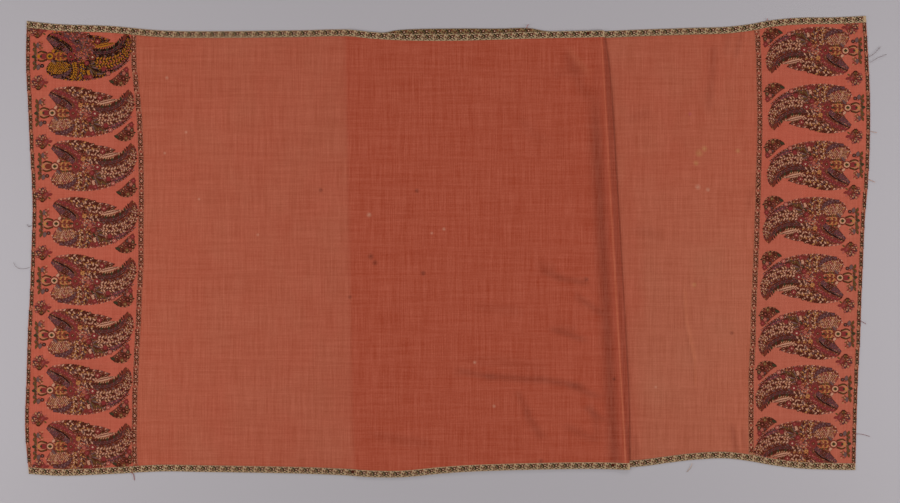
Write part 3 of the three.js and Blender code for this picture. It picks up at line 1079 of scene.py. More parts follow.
def paisley(pale: Thread, bright: Thread, crown: Yarns, base: Thread) -> Motif:
    """Charts the great paisley in its vase, 0.23 m from foot to tip.

    Args:
        pale: The yarn of its light leaves.
        bright: The yarn of its golden leaves.
        crown: The yarns of the leaves over its top.
        base: The yarn of its ground.

    Returns:
        The chart.
    """
    m = Motif()
    # The ground: one body, and a lyre-shaped vase on a dish.
    body = [(46, 46), (55, 56), (75, 58), (105, 60), (135, 55), (162, 46), (189, 36), (170, 29), (156, 24),
        (158, 12), (186, 12), (206, 19), (216, 32), (219, 46), (229, 54), (238, 45), (241, 26), (236, 0),
        (226, -15), (205, -34), (180, -47), (150, -54), (115, -58), (80, -54), (52, -44), (45, -30),
        (52, -16), (60, -8), (63, 8), (60, 22), (51, 35)]
    m.ground(body, base)
    mixed = [DARK, DARK, PURPLE, SLATE, CRIMSON, pale, OLIVE, PINK, GREEN, bright]
    m.specks(body, 2.9, 1.7, mixed, 1.6, 3)
    for side in (1, -1):
        arm = [(19, side * 2), (20, side * 9), (19, side * 17), (21, side * 23), (26, side * 27)]
        m.ribbon(arm, [4.8, 5.2, 4.2, 3.2, 1.4], OLIVE, 2)
        m.ribbon(arm, [1.4, 1.6, 1.2, 1.0, 0.4], DARK, 2.2)
        m.sprays(arm, 3.6, (4.4, 2.6), 62, [MAROON, SLATE, OLIVE], 2.4, (1, -1), None, 0.4)
        m.leaf((28, side * 20), (25, side * 33), 8.5, SLATE, 2.6, DARK)
        m.leaf((19, side * 23), (16, side * 33), 5, OLIVE, 2.6, DARK)
        m.leaf((17, side * 12), (15, side * 20), 4, OLIVE, 1.8, DARK)
        m.ribbon([(25, side * 8), (33, side * 12), (46, side * 8)], [3.0, 4.4, 4.4], DARK, 3)
        m.ribbon([(27, side * 9), (34, side * 11.6), (44, side * 9)], [0.8, 1.8, 1.0], OLIVE, 3.6)
        m.ribbon([(25, side * 4.6), (33, side * 8.2), (42, side * 6.6)], [1.4, 2.0, 1.0], TAN, 3.8)
    m.leaf((11, -1), (22, -1), 8, GREEN, 3)
    m.ribbon([(26, -19), (31, -18), (36, -20)], [1.4, 1.4, 1.0], CRIMSON, 2.6)
    m.disc((35.5, -23), 4.9, DARK, 3, 8)
    m.disc((35.5, -23), 2.3, SLATE, 4, 6)
    m.sprays([(31, 16), (33, 24), (32, 33)], 4.4, (5.6, 2.8), 58, [MAROON, TAN, OLIVE, PINK], 3, (1, -1),
        None)
    m.ribbon([(31, 15), (33, 24), (32, 34)], [1.0, 1.2, 0.8], MAROON, 2.6)
    m.disc((27, 0), 4.2, bright, 3.2, 8, 1.2)
    m.leaf((30, 0), (48, 0), 12, CRIMSON, 3.4, MAROON)
    m.disc((32.5, 0), 3.0, GREEN, 3.8, 8)
    # The medallion at its neck.
    m.face([(43, 0), (47, 8), (53, 11.5), (59, 8), (63, 0), (59, -7), (53, -9.5), (47, -7)], MAROON, 4)
    m.disc((53, 0), 10.2, MAROON, 4.4, 12)
    m.disc((53, 0), 7.4, pale, 5, 12)
    m.disc((53, 0), 4.8, bright, 6, 10)
    m.leaf((48, 0), (58, 0), 5.4, GREEN, 7)
    m.leaf((53, -4.6), (53, 4.6), 4.6, GREEN, 7.3)
    m.leaf((58, 9), (64, 17), 6.4, pale, 4, MAROON)
    m.leaf((57, -8), (66, -20), 6, SLATE, 4, DARK)
    # A spray on a golden ground, from the medallion to the rosette.
    m.face([(63, 5), (72, 14), (86, 12), (93, 3), (91, -8), (78, -12), (65, -8)], ORANGE, 3)
    m.specks([(65, 5), (73, 13), (85, 11), (91, 3), (90, -7), (78, -11), (66, -7)], 3.4, 1.7,
        [pale, MAROON, TAN], 3.6, 12)
    m.ribbon([(62, 0), (90, 0)], [3.8, 2.6], MAROON, 4)
    for u, size in ((70, 7.5), (80, 7.0)):
        for side in (1, -1):
            m.leaf((u - 5, side * 2), (u + 2, side * (size + 3)), 4.0, bright, 5)
            m.leaf((u, side * 1), (u + 5, side * size), 6.6, MAROON, 5.4)
            m.leaf((u - 2, side * (size + 5)), (u + 5, side * (size + 4)), 3.6, OLIVE, 5.2, DARK)
    m.leaf((84, 0), (94, 0), 4.6, GREEN, 5, DARK)
    # The bent leaf from the upper corner down to the rosette, in bands.
    m.ribbon([(46, 45), (60, 33), (79, 22), (97, 9)], [4, 11, 13, 8], PURPLE, 3, DARK)
    for shift, yarns in ((0, (SLATE, CRIMSON)), (4.4, (PINK, DARK, SLATE)), (-4.2, (SLATE, PINK, DARK))):
        line = [(50, 42 + shift * 0.5), (62, 32 + shift), (80, 21.5 + shift), (95, 10 + shift)]
        m.sprays(line, 3.1, (2.4, 1.7), 40, yarns, 4, (1,), None, 0)
    m.ribbon([(48, 50), (63, 42), (81, 32.5), (99, 17)], [2, 4.6, 4.6, 2.6], BLACK, 5)
    m.ribbon([(50, 48), (64, 39.6), (81, 30.2), (97, 15.5)], [0.8, 1.5, 1.5, 1], SLATE, 5.6)
    m.ribbon([(54, 54), (72, 49), (93, 38), (107, 24), (110, 8)], [3, 7.5, 8, 8, 6], CRIMSON, 3, MAROON)
    band = [(58, 54), (74, 50), (94, 39), (108, 24), (111, 10)]
    m.sprays(band, 3.6, (3.0, 2.0), 75, [MAROON, PINK, PURPLE], 4, (1, -1), None, 1.2)
    m.flower((101, -1), 11.5, 9, CRIMSON, CRIMSON, 5)
    m.disc((101, -1), 5.6, MAROON, 6, 10)
    m.disc((101, -1), 4.2, TAN, 6.5, 8)
    m.disc((101, -1), 3.0, DARK, 7, 8)
    m.disc((101, -1), 1.3, CREAM, 7.4, 6)
    # The crown of leaves over the top and down its inner side.
    rim = DARK
    if pale is YELLOW:
        rim = MAROON
        crown_field = [(78, 57), (106, 58), (134, 53), (156, 44), (154, 28), (150, 12), (142, 2), (118, -4),
            (110, 10), (107, 28), (94, 42)]
        m.ground(crown_field, PURPLE, 1.5)
    m.sprays([(80, 57), (104, 57), (126, 53), (142, 44), (150, 28), (147, 12)], 5.6, (8.2, 3.6), 44,
        [crown[0], MAROON, crown[1], crown[0], rim], 3, edge=rim)
    m.sprays([(98, 46), (117, 45), (132, 36), (137, 20), (134, 8)], 5.4, (8, 3.5), 44,
        [crown[1], crown[0], SLATE, crown[0], MAROON], 3, edge=rim)
    m.sprays([(116, 27), (122, 16), (121, 4)], 4.8, (6, 3), 40, [crown[0], ORANGE], 3)
    m.ring((116, 36), 5.2, 2.4, DARK, SLATE)
    m.flower((118, 18), 6, 5, crown[-1], CRIMSON, 5, MAROON)
    m.ring((141, 53), 3.6, 1.5, DARK, CREAM)
    # The tangle of small flowers in the middle.
    m.scales([(110, -10), (114, 10), (128, 12), (142, 4), (140, -12), (124, -16)], (5.2, 4.2), 2.1,
        [ORANGE, SLATE, CRIMSON, crown[0], PINK], 4)
    m.flower((151, -2), 8, 6, CRIMSON, WHITE, 5, MAROON)
    m.flower((138, -16), 6.5, 6, CRIMSON, PINK, 5, DARK)
    m.flower((131, -4), 5.0, 5, PINK, GOLD, 5, MAROON)
    # The flowered sprig that ends in a point.
    m.sprays([(148, 46), (166, 44), (187, 37)], 4.4, (5.4, 3.0), 52, [DARK, pale, SLATE], 3, (1,), MAROON)
    m.sprays([(150, 34), (166, 29), (184, 34)], 4.4, (5.0, 2.8), 48, [pale, DARK, OLIVE], 3, (-1, 1), MAROON)
    m.disc((147, 47), 4.6, DARK, 4)
    m.flower((163, 36), 6.8, 6, CRIMSON, CREAM, 5, DARK)
    m.ring((175, 36), 3.2, 1.3, DARK, SLATE)
    m.ring((182, 36), 2.6, 1.0, DARK, CREAM)
    # The long golden leaf with its dark rib.
    m.leaf((156, 22), (203, 33), 8.5, bright if pale is YELLOW else pale, 5.2, MAROON)
    m.sprays([(168, 25.5), (196, 32)], 3.4, (2.0, 1.4), 80, [DARK], 5.9, (1, -1), None, 0)
    m.ribbon([(162, 24), (198, 32.5)], [1.8, 1.4], MAROON, 5.8)
    # The saw-edged plume.
    plume = [(152, 10), (172, 8.5), (193, 12.5), (210, 22.5), (222, 38)]
    m.ribbon(plume, [8, 11.5, 11.5, 10, 4], DARK, 3)
    m.sprays(plume, 6.4, (15.0, 5.6), 56, [DARK, DARK, GREEN], 4.6, (1,), None, 2.4, 0.6)
    m.sprays([(155, 11), (175, 9.5), (195, 14), (211, 24.5)], 6.4, (6.5, 2.8), 56, [TAN], 4.9, (1,), None,
        7.4, 0.7)
    m.sprays(plume, 3.3, (3.6, 2.2), 58, [SLATE, PURPLE, PURPLE, SLATE, CRIMSON], 4.8, (1, -1), None, 0.4)
    m.leaf((222, 36), (228, 56), 8, MAROON, 4.6, DARK)
    m.sprays([(154, 4), (174, 1), (198, 5), (216, 15), (228, 33)], 6.2, (6.4, 4.0), 50, [DARK, DARK, SLATE],
        4.6, (-1,), None, -2, 0.6)
    # The tail: two rows of pale leaves that turn up to the tip.
    m.sprays([(160, -8), (184, -9), (208, -2), (225, 12), (232, 28), (230, 40)], 7.0, (8.8, 4.0), 46,
        [pale, pale, TAN], 3.4, last=0.4)
    m.sprays([(158, -20), (186, -21), (212, -13), (231, 4), (238, 22), (236, 38)], 7.0, (8.8, 4.0), 46,
        [pale, TAN, pale], 3, last=0.4)
    m.sprays([(162, -14), (186, -15), (210, -7), (228, 8), (236, 28)], 5.4, (2.8, 2.4), 0, [CRIMSON], 4.4,
        (1,), None, 0)
    # The band beneath it.
    m.ribbon([(172, -35), (192, -32), (212, -22), (230, -6)], [7, 8, 7, 2], PURPLE, 3.2, DARK)
    m.sprays([(176, -34), (196, -30), (214, -20), (227, -8)], 5.6, (4.4, 3.6), 0, [CRIMSON, PINK], 4.2, (1,),
        None, 0)
    m.sprays([(170, -40), (194, -37), (214, -26), (232, -9)], 4.6, (4.4, 3.2), 60, [DARK, SLATE], 3, (-1,),
        None, 0)
    m.flower((176, -30), 6.2, 6, CRIMSON, MAROON, 5, MAROON)
    m.flower((187, -41), 6.0, 6, PINK, CREAM, 5, DARK)
    # Dark leaves that fan out below the middle.
    for root, tip, width, yarn in (((146, -20), (157, -14), 5, SLATE), ((148, -22), (162, -22), 5.5, OLIVE),
            ((148, -25), (166, -30), 5.5, SLATE), ((148, -27), (166, -39), 5.5, DARK),
            ((147, -28), (160, -46), 5.5, OLIVE), ((145, -29), (152, -48), 5, SLATE),
            ((158, -34), (174, -46), 5, OLIVE), ((160, -42), (178, -42), 4.5, SLATE),
            ((138, -23), (144, -34), 5, GREEN)):
        m.leaf(root, tip, width * 0.72, yarn, 3.4, DARK)
        m.disc(tip, 1.5, pale, 3.9, 6)
    m.leaf((139, -33), (145, -47), 6.5, pale, 4, MAROON)
    m.flower((146, -50), 6.4, 4, CRIMSON, PINK, 5, MAROON)
    m.flower((135, -50), 5.0, 4, CRIMSON, MAROON, 5, MAROON)
    # Rows of pale leaves that hang from the rosette.
    m.sprays([(108, -14), (111, -30), (110, -44), (106, -51)], 5.2, (7.2, 3.5), 40, [bright, pale], 3)
    m.sprays([(126, -18), (128, -34), (126, -44), (121, -51)], 5.2, (7.0, 3.4), 40, [pale, bright, SLATE], 3)
    m.sprays([(117, -16), (119, -34), (115, -52)], 5.2, (3.4, 2.8), 0, [CRIMSON, MAROON], 4, (1,), None, 0)
    # The scaly field over the vase, and the feather beneath it.
    fan = [pale, bright] if pale is YELLOW else [pale, TAN, pale, TAN, bright, PINK]
    m.scales([(58, -14), (84, -13), (99, -20), (97, -34), (72, -44), (54, -42), (46, -30), (50, -18)],
        (4.5, 3.5), 1.85, fan, 4)
    m.ribbon([(60, -49), (78, -48), (93, -41), (103, -28)], [5, 9, 9, 3], PURPLE, 4.6, DARK)
    m.sprays([(64, -49), (79, -47), (92, -41), (101, -31)], 4.2, (4.2, 2.4), 70, [SLATE, DARK], 5.2, (1, -1),
        None, 0)
    # Single stitches that break up every figure, and a rim of small leaves round the whole.
    m.specks(body, 4.3, 1.15, [DARK, DARK, MAROON, PURPLE, MAROON, pale], 7.4, 4)
    m.sprays([(58, 57), (76, 60), (100, 61)], 4.6, (3.8, 2.8), 30, [SLATE, pale], 2, (1,), None, 0)
    m.sprays([(186, -46), (160, -54), (130, -58), (100, -58), (72, -53), (50, -43), (44, -30)], 4.8,
        (3.8, 2.8), 30, [DARK, SLATE, pale], 2, (1,), None, -1)
    # The wefts are beaten closer than the chart's squares.
    m.points = [(u, v * 0.955, height) for u, v, height in m.points]
    return m


def carnation() -> Motif:
    """Charts the small carnation between two vases; its stem points along v.

    Returns:
        The chart.
    """
    m = Motif()
    m.ground([(-12, -2), (-7, 8), (2, 12), (9, 7), (10, -2), (6, -10), (-3, -12), (-10, -8)], MAROON)
    m.sprays([(-9, -8), (-11, 0), (-6, 9), (3, 11)], 4.4, (5.2, 3.4), 60, [PINK, TAN, PURPLE], 3, (1,), DARK,
        -1)
    m.sprays([(-6, -4), (-6, 3), (0, 7)], 4.0, (4.2, 3.0), 50, [SLATE, TAN, CRIMSON], 3.4, (1, -1), DARK, 0)
    m.disc((-1, -9), 5.4, DARK, 4)
    m.disc((-1, -9), 2.4, OLIVE, 5)
    m.flower((7, 1), 5.4, 6, CRIMSON, PINK, 4, MAROON)
    m.leaf((11, 0), (18, 2), 4, CRIMSON, 3, MAROON)
    field = [(-11, -2), (-6, 8), (2, 11), (8, 7), (9, -2), (5, -10), (-3, -11), (-9, -8)]
    m.specks(field, 3.0, 1.3, [TAN, DARK, SLATE, PINK, ORANGE], 4.6, 9)
    m.leaf((10, 4), (15, 9), 3.4, PINK, 3)
    m.leaf((10, -4), (15, -8), 3.4, OLIVE, 3)
    return m


def corner_spray() -> Motif:
    """Charts the three-cornered spray beside the inner guard stripe.

    Returns:
        The chart.
    """
    m = Motif()
    m.ground([(-25, -10), (-10, 2), (4, 16), (18, 26), (21, 12), (22, -4), (12, -16), (-4, -20), (-16, -16)],
        MAROON)
    m.leaf((-14, -14), (-26, -9), 7, GREEN, 3, DARK)
    m.leaf((-10, -18), (-20, -16), 5, DARK, 3)
    m.ring((-10, -8), 4.2, 1.5, DARK, TAN)
    m.ring((-7, -16), 4.4, 1.6, DARK, SLATE)
    m.ring((0, -3), 4.2, 1.6, DARK, PINK)
    m.ring((3, -15), 4.2, 1.6, OLIVE, TAN)
    m.ring((3, 7), 4.8, 2.0, DARK, SLATE)
    m.ring((17, -7), 4.4, 1.7, DARK, TAN)
    m.ring((17, 5), 4.2, 1.5, GREEN, TAN)
    m.flower((9, -4), 6.6, 6, CRIMSON, PINK, 5, DARK)
    m.flower((10, 9), 5.2, 5, PINK, GOLD, 5, DARK)
    m.flower((16, 18), 5.8, 5, CRIMSON, PINK, 5, MAROON)
    m.sprays([(-18, -12), (-4, -1), (8, 13)], 5.6, (4.0, 2.6), 40, [TAN, SLATE], 2, (1,), DARK, 1)
    m.sprays(
        [(-14, -18), (2, -20), (14, -15), (22, -2)], 5.0, (3.8, 2.6), 40, [GREEN, TAN], 2, (-1,), DARK, 0
    )
    field = [(-22, -10), (-9, 1), (4, 14), (17, 24), (20, 10), (20, -4), (11, -15), (-4, -19), (-15, -15)]
    m.specks(field, 3.4, 1.3, [TAN, OLIVE, SLATE, PINK, DARK, ORANGE], 2.6, 8)
    return m


def guard_link(width: float, accent: Thread, second: Thread) -> Motif:
    """Charts one repeat of a guard stripe: two crosses round a ringlet, and dots.

    Args:
        width: The stripe's width.
        accent: The yarn of the ringlet's heart.
        second: The yarn of the small spot between the crosses.

    Returns:
        The chart; it runs along v.
    """
    m = Motif()
    k = width / 14
    for middle in (-11, 11):
        m.face([(-5 * k, middle - 4.6), (5 * k, middle - 4.6), (5 * k, middle + 4.6), (-5 * k, middle + 4.6)],
            TAN, 2)
        for a, b in (((-5.2, -5.2), (5.2, 5.2)), ((-5.2, 5.2), (5.2, -5.2))):
            m.leaf((a[0] * k, middle + a[1]), (b[0] * k, middle + b[1]), 5.2, DARK if a[1] < 0 else GREEN, 3)
        m.disc((0, middle), 1.3, CREAM, 4, 6)
        m.leaf((-5.8 * k, middle), (-2.6 * k, middle), 2.6, CREAM, 2.6)
        m.leaf((2.6 * k, middle), (5.8 * k, middle), 2.6, CREAM, 2.6)
        for v in (middle - 5.4, middle + 5.4):
            m.disc((0, v), 1.6, OLIVE, 2.4, 6)
    m.disc((0, 0), 5.4 * k, DARK, 3, 10, 1.2 / k if k < 1 else 1.15)
    m.disc((0, 0), 3.0 * k, CREAM, 3.6, 8, 1.3)
    m.disc((0, 0), 1.7 * k, accent, 4, 8, 1.2)
    for v in (-17.4, 17.4):
        m.disc((0, v), 2.4 * k, CREAM, 3, 6)
        m.disc((-3.6 * k, v), 1.9, MAROON, 3, 6)
        m.disc((3.6 * k, v), 1.9, MAROON, 3, 6)
    m.disc((0, 22), 3.6 * k, CRIMSON, 3, 8)
    m.disc((0, 22), 1.8 * k, second, 4, 6)
    for v in np.arange(-20.6, 22, 3.75):
        m.disc((-5.7 * k, float(v)), 1.15, DARK, 2.5, 5)
        m.disc((5.7 * k, float(v)), 1.15, MAROON, 2.5, 5)
    return m


def border_scroll() -> Motif:
    """Charts one repeat of the narrow border, 26 mm along u: a slanted scroll with leaves.

    Returns:
        The chart.
    """
    m = Motif()
    m.ribbon([(-10.5, 5.6), (-4, 5.2), (0.5, 0), (-1, -5), (5.5, -6)], [1.6, 3.4, 3.8, 3.2, 1.4], GREEN, 2)
    m.ring((3.6, 1.9), 4.2, 1.6, DARK, WHITE, 3)
    m.ring((-5.2, -2.6), 3.2, 1.3, GREEN, CREAM, 3)
    m.leaf((-3, 2), (-9.4, 1), 3.2, OLIVE, 3)
    m.leaf((5, -2), (11, -5), 3.2, GREEN, 3)
    m.leaf((6, 4), (10.6, 6.4), 2.8, OLIVE, 3)
    m.leaf((-8, -5), (-12.8, -6.2), 2.8, OLIVE, 3)
    m.leaf((-12.8, 3.4), (-10.2, -3.6), 2.6, DARK, 3)
    m.leaf((8.2, 1.6), (12.2, -0.6), 2.0, OLIVE, 3)
    m.disc((9.8, 3.4), 1.5, CRIMSON, 3, 6)
    m.disc((-8.6, -1.2), 1.2, CRIMSON, 3, 6)
    m.disc((0.6, -6.2), 1.1, WHITE, 3, 6)
    m.disc((-6.6, 5.9), 1.0, WHITE, 3.5, 6)
    for u in np.arange(-12, 13, 3.25):
        m.disc((float(u), 7.1), 0.7, DARK, 3, 5)
        m.disc((float(u) + 1.6, -7.1), 0.7, OLIVE, 3, 5)
    return m


# ---------- Laying figures and stitches on the cloth ----------


@dataclass(frozen=True)
class Place:
    """Where a figure lies, in millimetres on the drawing, with its turn in degrees and its size."""

    x: float
    y: float
    turn: float = 0.0
    size: float = 1.0


def unit_object(name: str, points: Array, faces: list[list[int]], threads: list[Thread]) -> Object:
    """Makes a figure to repeat, round its own origin, with each face's yarn as an attribute.

    Args:
        name: Its name.
        points: Its points in millimetres.
        faces: Its faces.
        threads: Each face's yarn.

    Returns:
        The figure.
    """
    numbers = {thread: number for number, thread in enumerate(Thread)}
    mesh = bpy.data.meshes.new(name)
    mesh.from_pydata((points * MM).tolist(), [], faces)
    yarns = np.array([numbers[thread] for thread in threads], dtype=np.int32)
    mesh.attributes.new("thread", "INT", "FACE").data.foreach_set("value", yarns)
    mesh.update()
    return linked(name, mesh)


class Loom:
    """Repeats a figure over the cloth with one Geometry Nodes tree, and lets it follow the cloth."""

    def __init__(self) -> None:
        """Dyes the yarns and builds the tree."""
        self.yarns = {
            thread: YarnFinish(f"Goats wool yarn {thread.name.lower()}", thread.value).build()
            for thread in Thread
        }
        self.tree = self._tree()

    def _tree(self) -> bpy.types.NodeTree:
        """Builds the tree that repeats a figure on points and drops it on the cloth.

        Returns:
            The tree.
        """
        tree = bpy.data.node_groups.new("Lay figures on cloth", "GeometryNodeTree")
        new = partial(add, tree)
        kinds = {
            "Geometry": "Geometry", "Figure": "Object", "Cloth": "Object", "Lift": "Float", "Seat": "Float",
            "Cut": "Bool",
        }
        self.sockets = {
            name: tree.interface.new_socket(name, in_out="INPUT", socket_type=f"NodeSocket{kind}").identifier
            for name, kind in kinds.items()
        }
        tree.interface.new_socket("Geometry", in_out="OUTPUT", socket_type="NodeSocketGeometry")
        given = new("NodeGroupInput").node.outputs
        figure = new("GeometryNodeObjectInfo", {"Object": given["Figure"]}, "Geometry")
        cloth = new("GeometryNodeObjectInfo", {"Object": given["Cloth"]}, "Geometry")
        turn = new("CombineXYZ", {"Z": new("GeometryNodeInputNamedAttribute", {"Name": "turn"})})
        size = new("GeometryNodeInputNamedAttribute", {"Name": "size"})
        spread = {"Points": given["Geometry"], "Instance": figure, "Rotation": turn, "Scale": size}
        real = new("GeometryNodeRealizeInstances", {"Geometry": new("GeometryNodeInstanceOnPoints", spread)})
        x, y, z = new("SeparateXYZ", {0: new("GeometryNodeInputPosition")}).node.outputs
        down = {
            "Target Geometry": cloth, "Source Position": new("CombineXYZ", {0: x, 1: y, 2: 0.5}),
            "Ray Direction": (0.0, 0.0, -1.0), "Ray Length": 1.0,
        }
        hit = new("GeometryNodeRaycast", down, "Is Hit")
        # Faces past the cloth's edge are cut off, but for stitches, which reach over a seam.
        missed = new("FunctionNodeBooleanMath", {0: hit}, operation="NOT")
        cut = new("FunctionNodeBooleanMath", {0: missed, 1: given["Cut"]}, operation="AND")
        kept = new("GeometryNodeDeleteGeometry", {"Geometry": real, "Selection": cut}, domain="FACE")
        met = new("SeparateXYZ", {0: hit.node.outputs["Hit Position"]}, 2)
        seat = new("GeometryNodeSwitch", {"Switch": hit, "False": given["Seat"], "True": met},
            input_type="FLOAT")
        own = new("Math", {0: z, 1: given["Lift"]}, operation="ADD")
        there = new("CombineXYZ", {0: x, 1: y, 2: new("Math", {0: own, 1: seat}, operation="ADD")})
        dressed = new("GeometryNodeSetPosition", {"Geometry": kept, "Position": there})
        yarn = new("GeometryNodeInputNamedAttribute", {"Name": "thread"}, data_type="INT")
        for number, material in enumerate(self.yarns.values()):
            same = new("FunctionNodeCompare", {2: yarn, 3: number}, data_type="INT", operation="EQUAL")
            inputs = {"Geometry": dressed, "Selection": same, "Material": material}
            dressed = new("GeometryNodeSetMaterial", inputs)
        new("NodeGroupOutput", {"Geometry": dressed})
        return tree

    def lay(
        self, name: str, unit: Object, places: Sequence[Place], cloth: Object, lift: float = 0.12,
        seat: float = 1.2, cut: bool = True,
    ) -> None:
        """Lays a figure on the cloth at each place, as one plain mesh.

        Args:
            name: The piece's name.
            unit: The figure.
            places: Where it goes.
            cloth: The cloth that it follows.
            lift: Its height over the cloth, in millimetres.
            seat: The cloth's height beside it, where the figure runs under a border.
            cut: Cuts off what lies past the cloth's edge.
        """
        mesh = bpy.data.meshes.new(f"{name} places")
        mesh.from_pydata(framed(np.array([(place.x, place.y, 0.0) for place in places])).tolist(), [], [])
        turns, sizes = [math.radians(place.turn) for place in places], [place.size for place in places]
        for key, values in (("turn", turns), ("size", sizes)):
            mesh.attributes.new(key, "FLOAT", "POINT").data.foreach_set("value", values)
        host = linked(f"{name} host", mesh)
        modifier = host.modifiers.new("Lay", "NODES")
        modifier.node_group = self.tree
        given = {"Figure": unit, "Cloth": cloth, "Lift": lift * MM, "Seat": seat * MM, "Cut": cut}
        for key, value in given.items():
            modifier[self.sockets[key]] = value
        evaluated = host.evaluated_get(bpy.context.evaluated_depsgraph_get())
        laid = bpy.data.meshes.new_from_object(evaluated)
        laid.name = name
        for key in ("turn", "size"):
            if key in laid.attributes:
                laid.attributes.remove(laid.attributes[key])
        piece = linked(name, laid)
        bpy.data.objects.remove(host)
        report(piece)


YARN_SIDES, YARN_PITCH = 6, 2.0


def tube(name: str, spine: Sequence[tuple[float, float, float]], radius: float, finish: Material) -> Object:
    """Makes a loose end of yarn, closed at its ends.

    Args:
        name: The piece's name.
        spine: Points that it runs through, in millimetres on the drawing.
        radius: Its radius.
        finish: Its material.

    Returns:
        The piece.
    """
    steps = along([(x, y) for x, y, _ in spine], YARN_PITCH)
    shares = np.linspace(0, 1, len(spine))
    heights = np.interp(np.linspace(0, 1, len(steps)), shares, [z for *_, z in spine])
    sides, last = YARN_SIDES, len(steps) - 1
    turns = [2 * math.pi * k / sides for k in range(sides)]
    points = [
        (x - dy * radius * math.cos(a), y + dx * radius * math.cos(a), z + radius * math.sin(a))
        for ((x, y), (dx, dy)), z in zip(steps, heights)
        for a in turns
    ]
    faces = [
        ((r + 1) * sides + k, (r + 1) * sides + (k + 1) % sides, r * sides + (k + 1) % sides, r * sides + k)
        for r in range(last)
        for k in range(sides)
    ]
    faces += [range(sides), [last * sides + k for k in reversed(range(sides))]]
    return smooth(name, np.array(points), faces, finish)


# ---------- The shawl ----------


@dataclass(frozen=True)
class FieldCloth:
    """The plain brick-red field, in two stretches, with the folded layers between them."""

    cell: float = 6.4
    lower_cell: float = 4.2
    ramp_cells: int = 10
    crest_cells: int = 14
    upper_runs: tuple[float, float] = (500.0, 550.0)  # about, before and past the climb
    lower_run: float = 330.0
    hidden_cells: tuple[int, int, int] = (8, 56, 40)
    tuck: float = 4.0  # how far a column stands off the crest's line
    roll_cells: int = 24
    folded_rows: int = 80
    wall_of_hidden: float = 1.12
    hidden_roll: tuple[float, ...] = (1.6, 1.2, 0.8, 0.4)
    hidden_turns: tuple[float, ...] = (22.5, 45, 67.5, 90, 112.5, 135, 157.5)

    def upper_columns(self, start: Line, roll_end: float = 8.0, cell: float | None = None) -> list[Column]:
        """Gives the upper stretch's sections.

        Args:
            start: The line at its left.
            roll_end: The part of the roll that it ends at.
            cell: Its columns' pitch.

        Returns:
            The columns.
        """
        pitch = cell or self.cell
        foot, top = shifted(HIDDEN_FOLD, -LAY.ramp), shifted(HIDDEN_FOLD, LAY.ramp_top)
        lines = (start, foot, top, shifted(CREST, -LAY.crest_run - self.tuck), CREST)
        before, past = (int(run / pitch) for run in self.upper_runs)
        cells = (before, self.ramp_cells, past, self.crest_cells)
        columns = []
        for first, last, count in zip(lines, lines[1:], cells):
            columns += between(first, last, count, LAY.upper_height, skip_first=bool(columns))
        parts = np.linspace(0, roll_end, self.roll_cells + 1)[1:].tolist()
        return [*columns, *[Column(LAY.roll_place(part), LAY.roll_height(part)) for part in parts]]

    def lower_columns(self, end: Line, cell: float | None = None) -> list[Column]:
        """Gives the lower stretch's sections, as far as a line at its right."""
        cells = int(self.lower_run / (cell or self.lower_cell))
        return between(shifted(CREST, LAY.gap - self.tuck), end, cells, level_at(0.0))

    def hidden_columns(self) -> list[Column]:
        """Gives the sections of the folded layers, from inside the roll round their fold and back.

        Returns:
            The sections in order.
        """

        def beneath(height: Height) -> Height:
            """Gives the height just under the upper stretch."""
            return lambda x, y: height(x, y) - LAY.gap

        radius, turns = LAY.cloth, [math.radians(a) for a in self.hidden_turns]
        fold, run = shifted(HIDDEN_FOLD, radius), shifted(CREST, -LAY.crest_run)
        crest, over, under = self.hidden_cells
        return [
            *[Column(LAY.roll_place(p), beneath(LAY.roll_height(p)), False) for p in self.hidden_roll],
            *between(CREST, run, crest, beneath(LAY.upper_height), creased=False),
            *between(run, fold, over, beneath(LAY.upper_height), skip_first=True, creased=False),
            *[
                Column(shifted(fold, -radius * math.sin(a)), level_at(radius + radius * math.cos(a)), False)
                for a in turns
            ],
            *between(fold, shifted(CREST, -self.tuck), under, level_at(0.0), creased=False),
        ]

    def build(self, finish: Material) -> None:
        """Builds the two stretches and the folded layers.

        Args:
            finish: The field's cloth.
        """
        seam = LAY.end_width + LAY.gap / 2
        for node, columns, edges, length in (
            ("field_upper", self.upper_columns(from_left(seam)), (UPPER_BOTTOM, UPPER_TOP), 1.13),
            ("field_lower", self.lower_columns(from_right(seam)), (LOWER_BOTTOM, LOWER_TOP), 0.37),
        ):
            under = crossed(columns, *within_borders(*edges), ROWS_ACROSS)
            sheet(node, moved_out(under, LAY.cloth), under, finish)
        rows = np.linspace(1, 0, self.folded_rows)
        outer = crossed(self.hidden_columns(), *within_borders(HIDDEN_BOTTOM, HIDDEN_TOP), rows)
        inner = moved_out(outer, self.wall_of_hidden)
        sheet("hidden_layers", outer, inner, finish)


class Side(Enum):
    """The shawl's two patterned ends."""

    LEFT = "left"
    RIGHT = "right"


PAISLEY_ROWS = {Side.LEFT: [(247 - y) * GRID_STEP for y in (56.4, 112.9, 166.4, 223.6, 280.6, 335, 390.3,
    446.3)], Side.RIGHT: [(246.4 - y) * GRID_STEP for y in (50.1, 107.1, 164.1, 220.3, 277.1, 333.3, 388.3,
    443.4)]}
CARNATIONS = {Side.LEFT: ((38, 31), (39, 83), (43, 142), (43, 195), (43, 253), (42, 308), (40, 363),
    (39, 419), (40, 467)), Side.RIGHT: ((851, 27), (855, 78), (855, 136), (853, 192), (850, 249), (847, 305),
    (845, 361), (843, 417))}
SPRAYS = {Side.LEFT: ((120, 77), (125, 132), (127, 188), (126, 244), (124, 298), (121, 354), (120, 409),
    (123, 459)), Side.RIGHT: ((772, 37), (774, 92), (774, 148), (773, 205), (771, 260), (769, 316),
    (766, 370), (766, 426))}


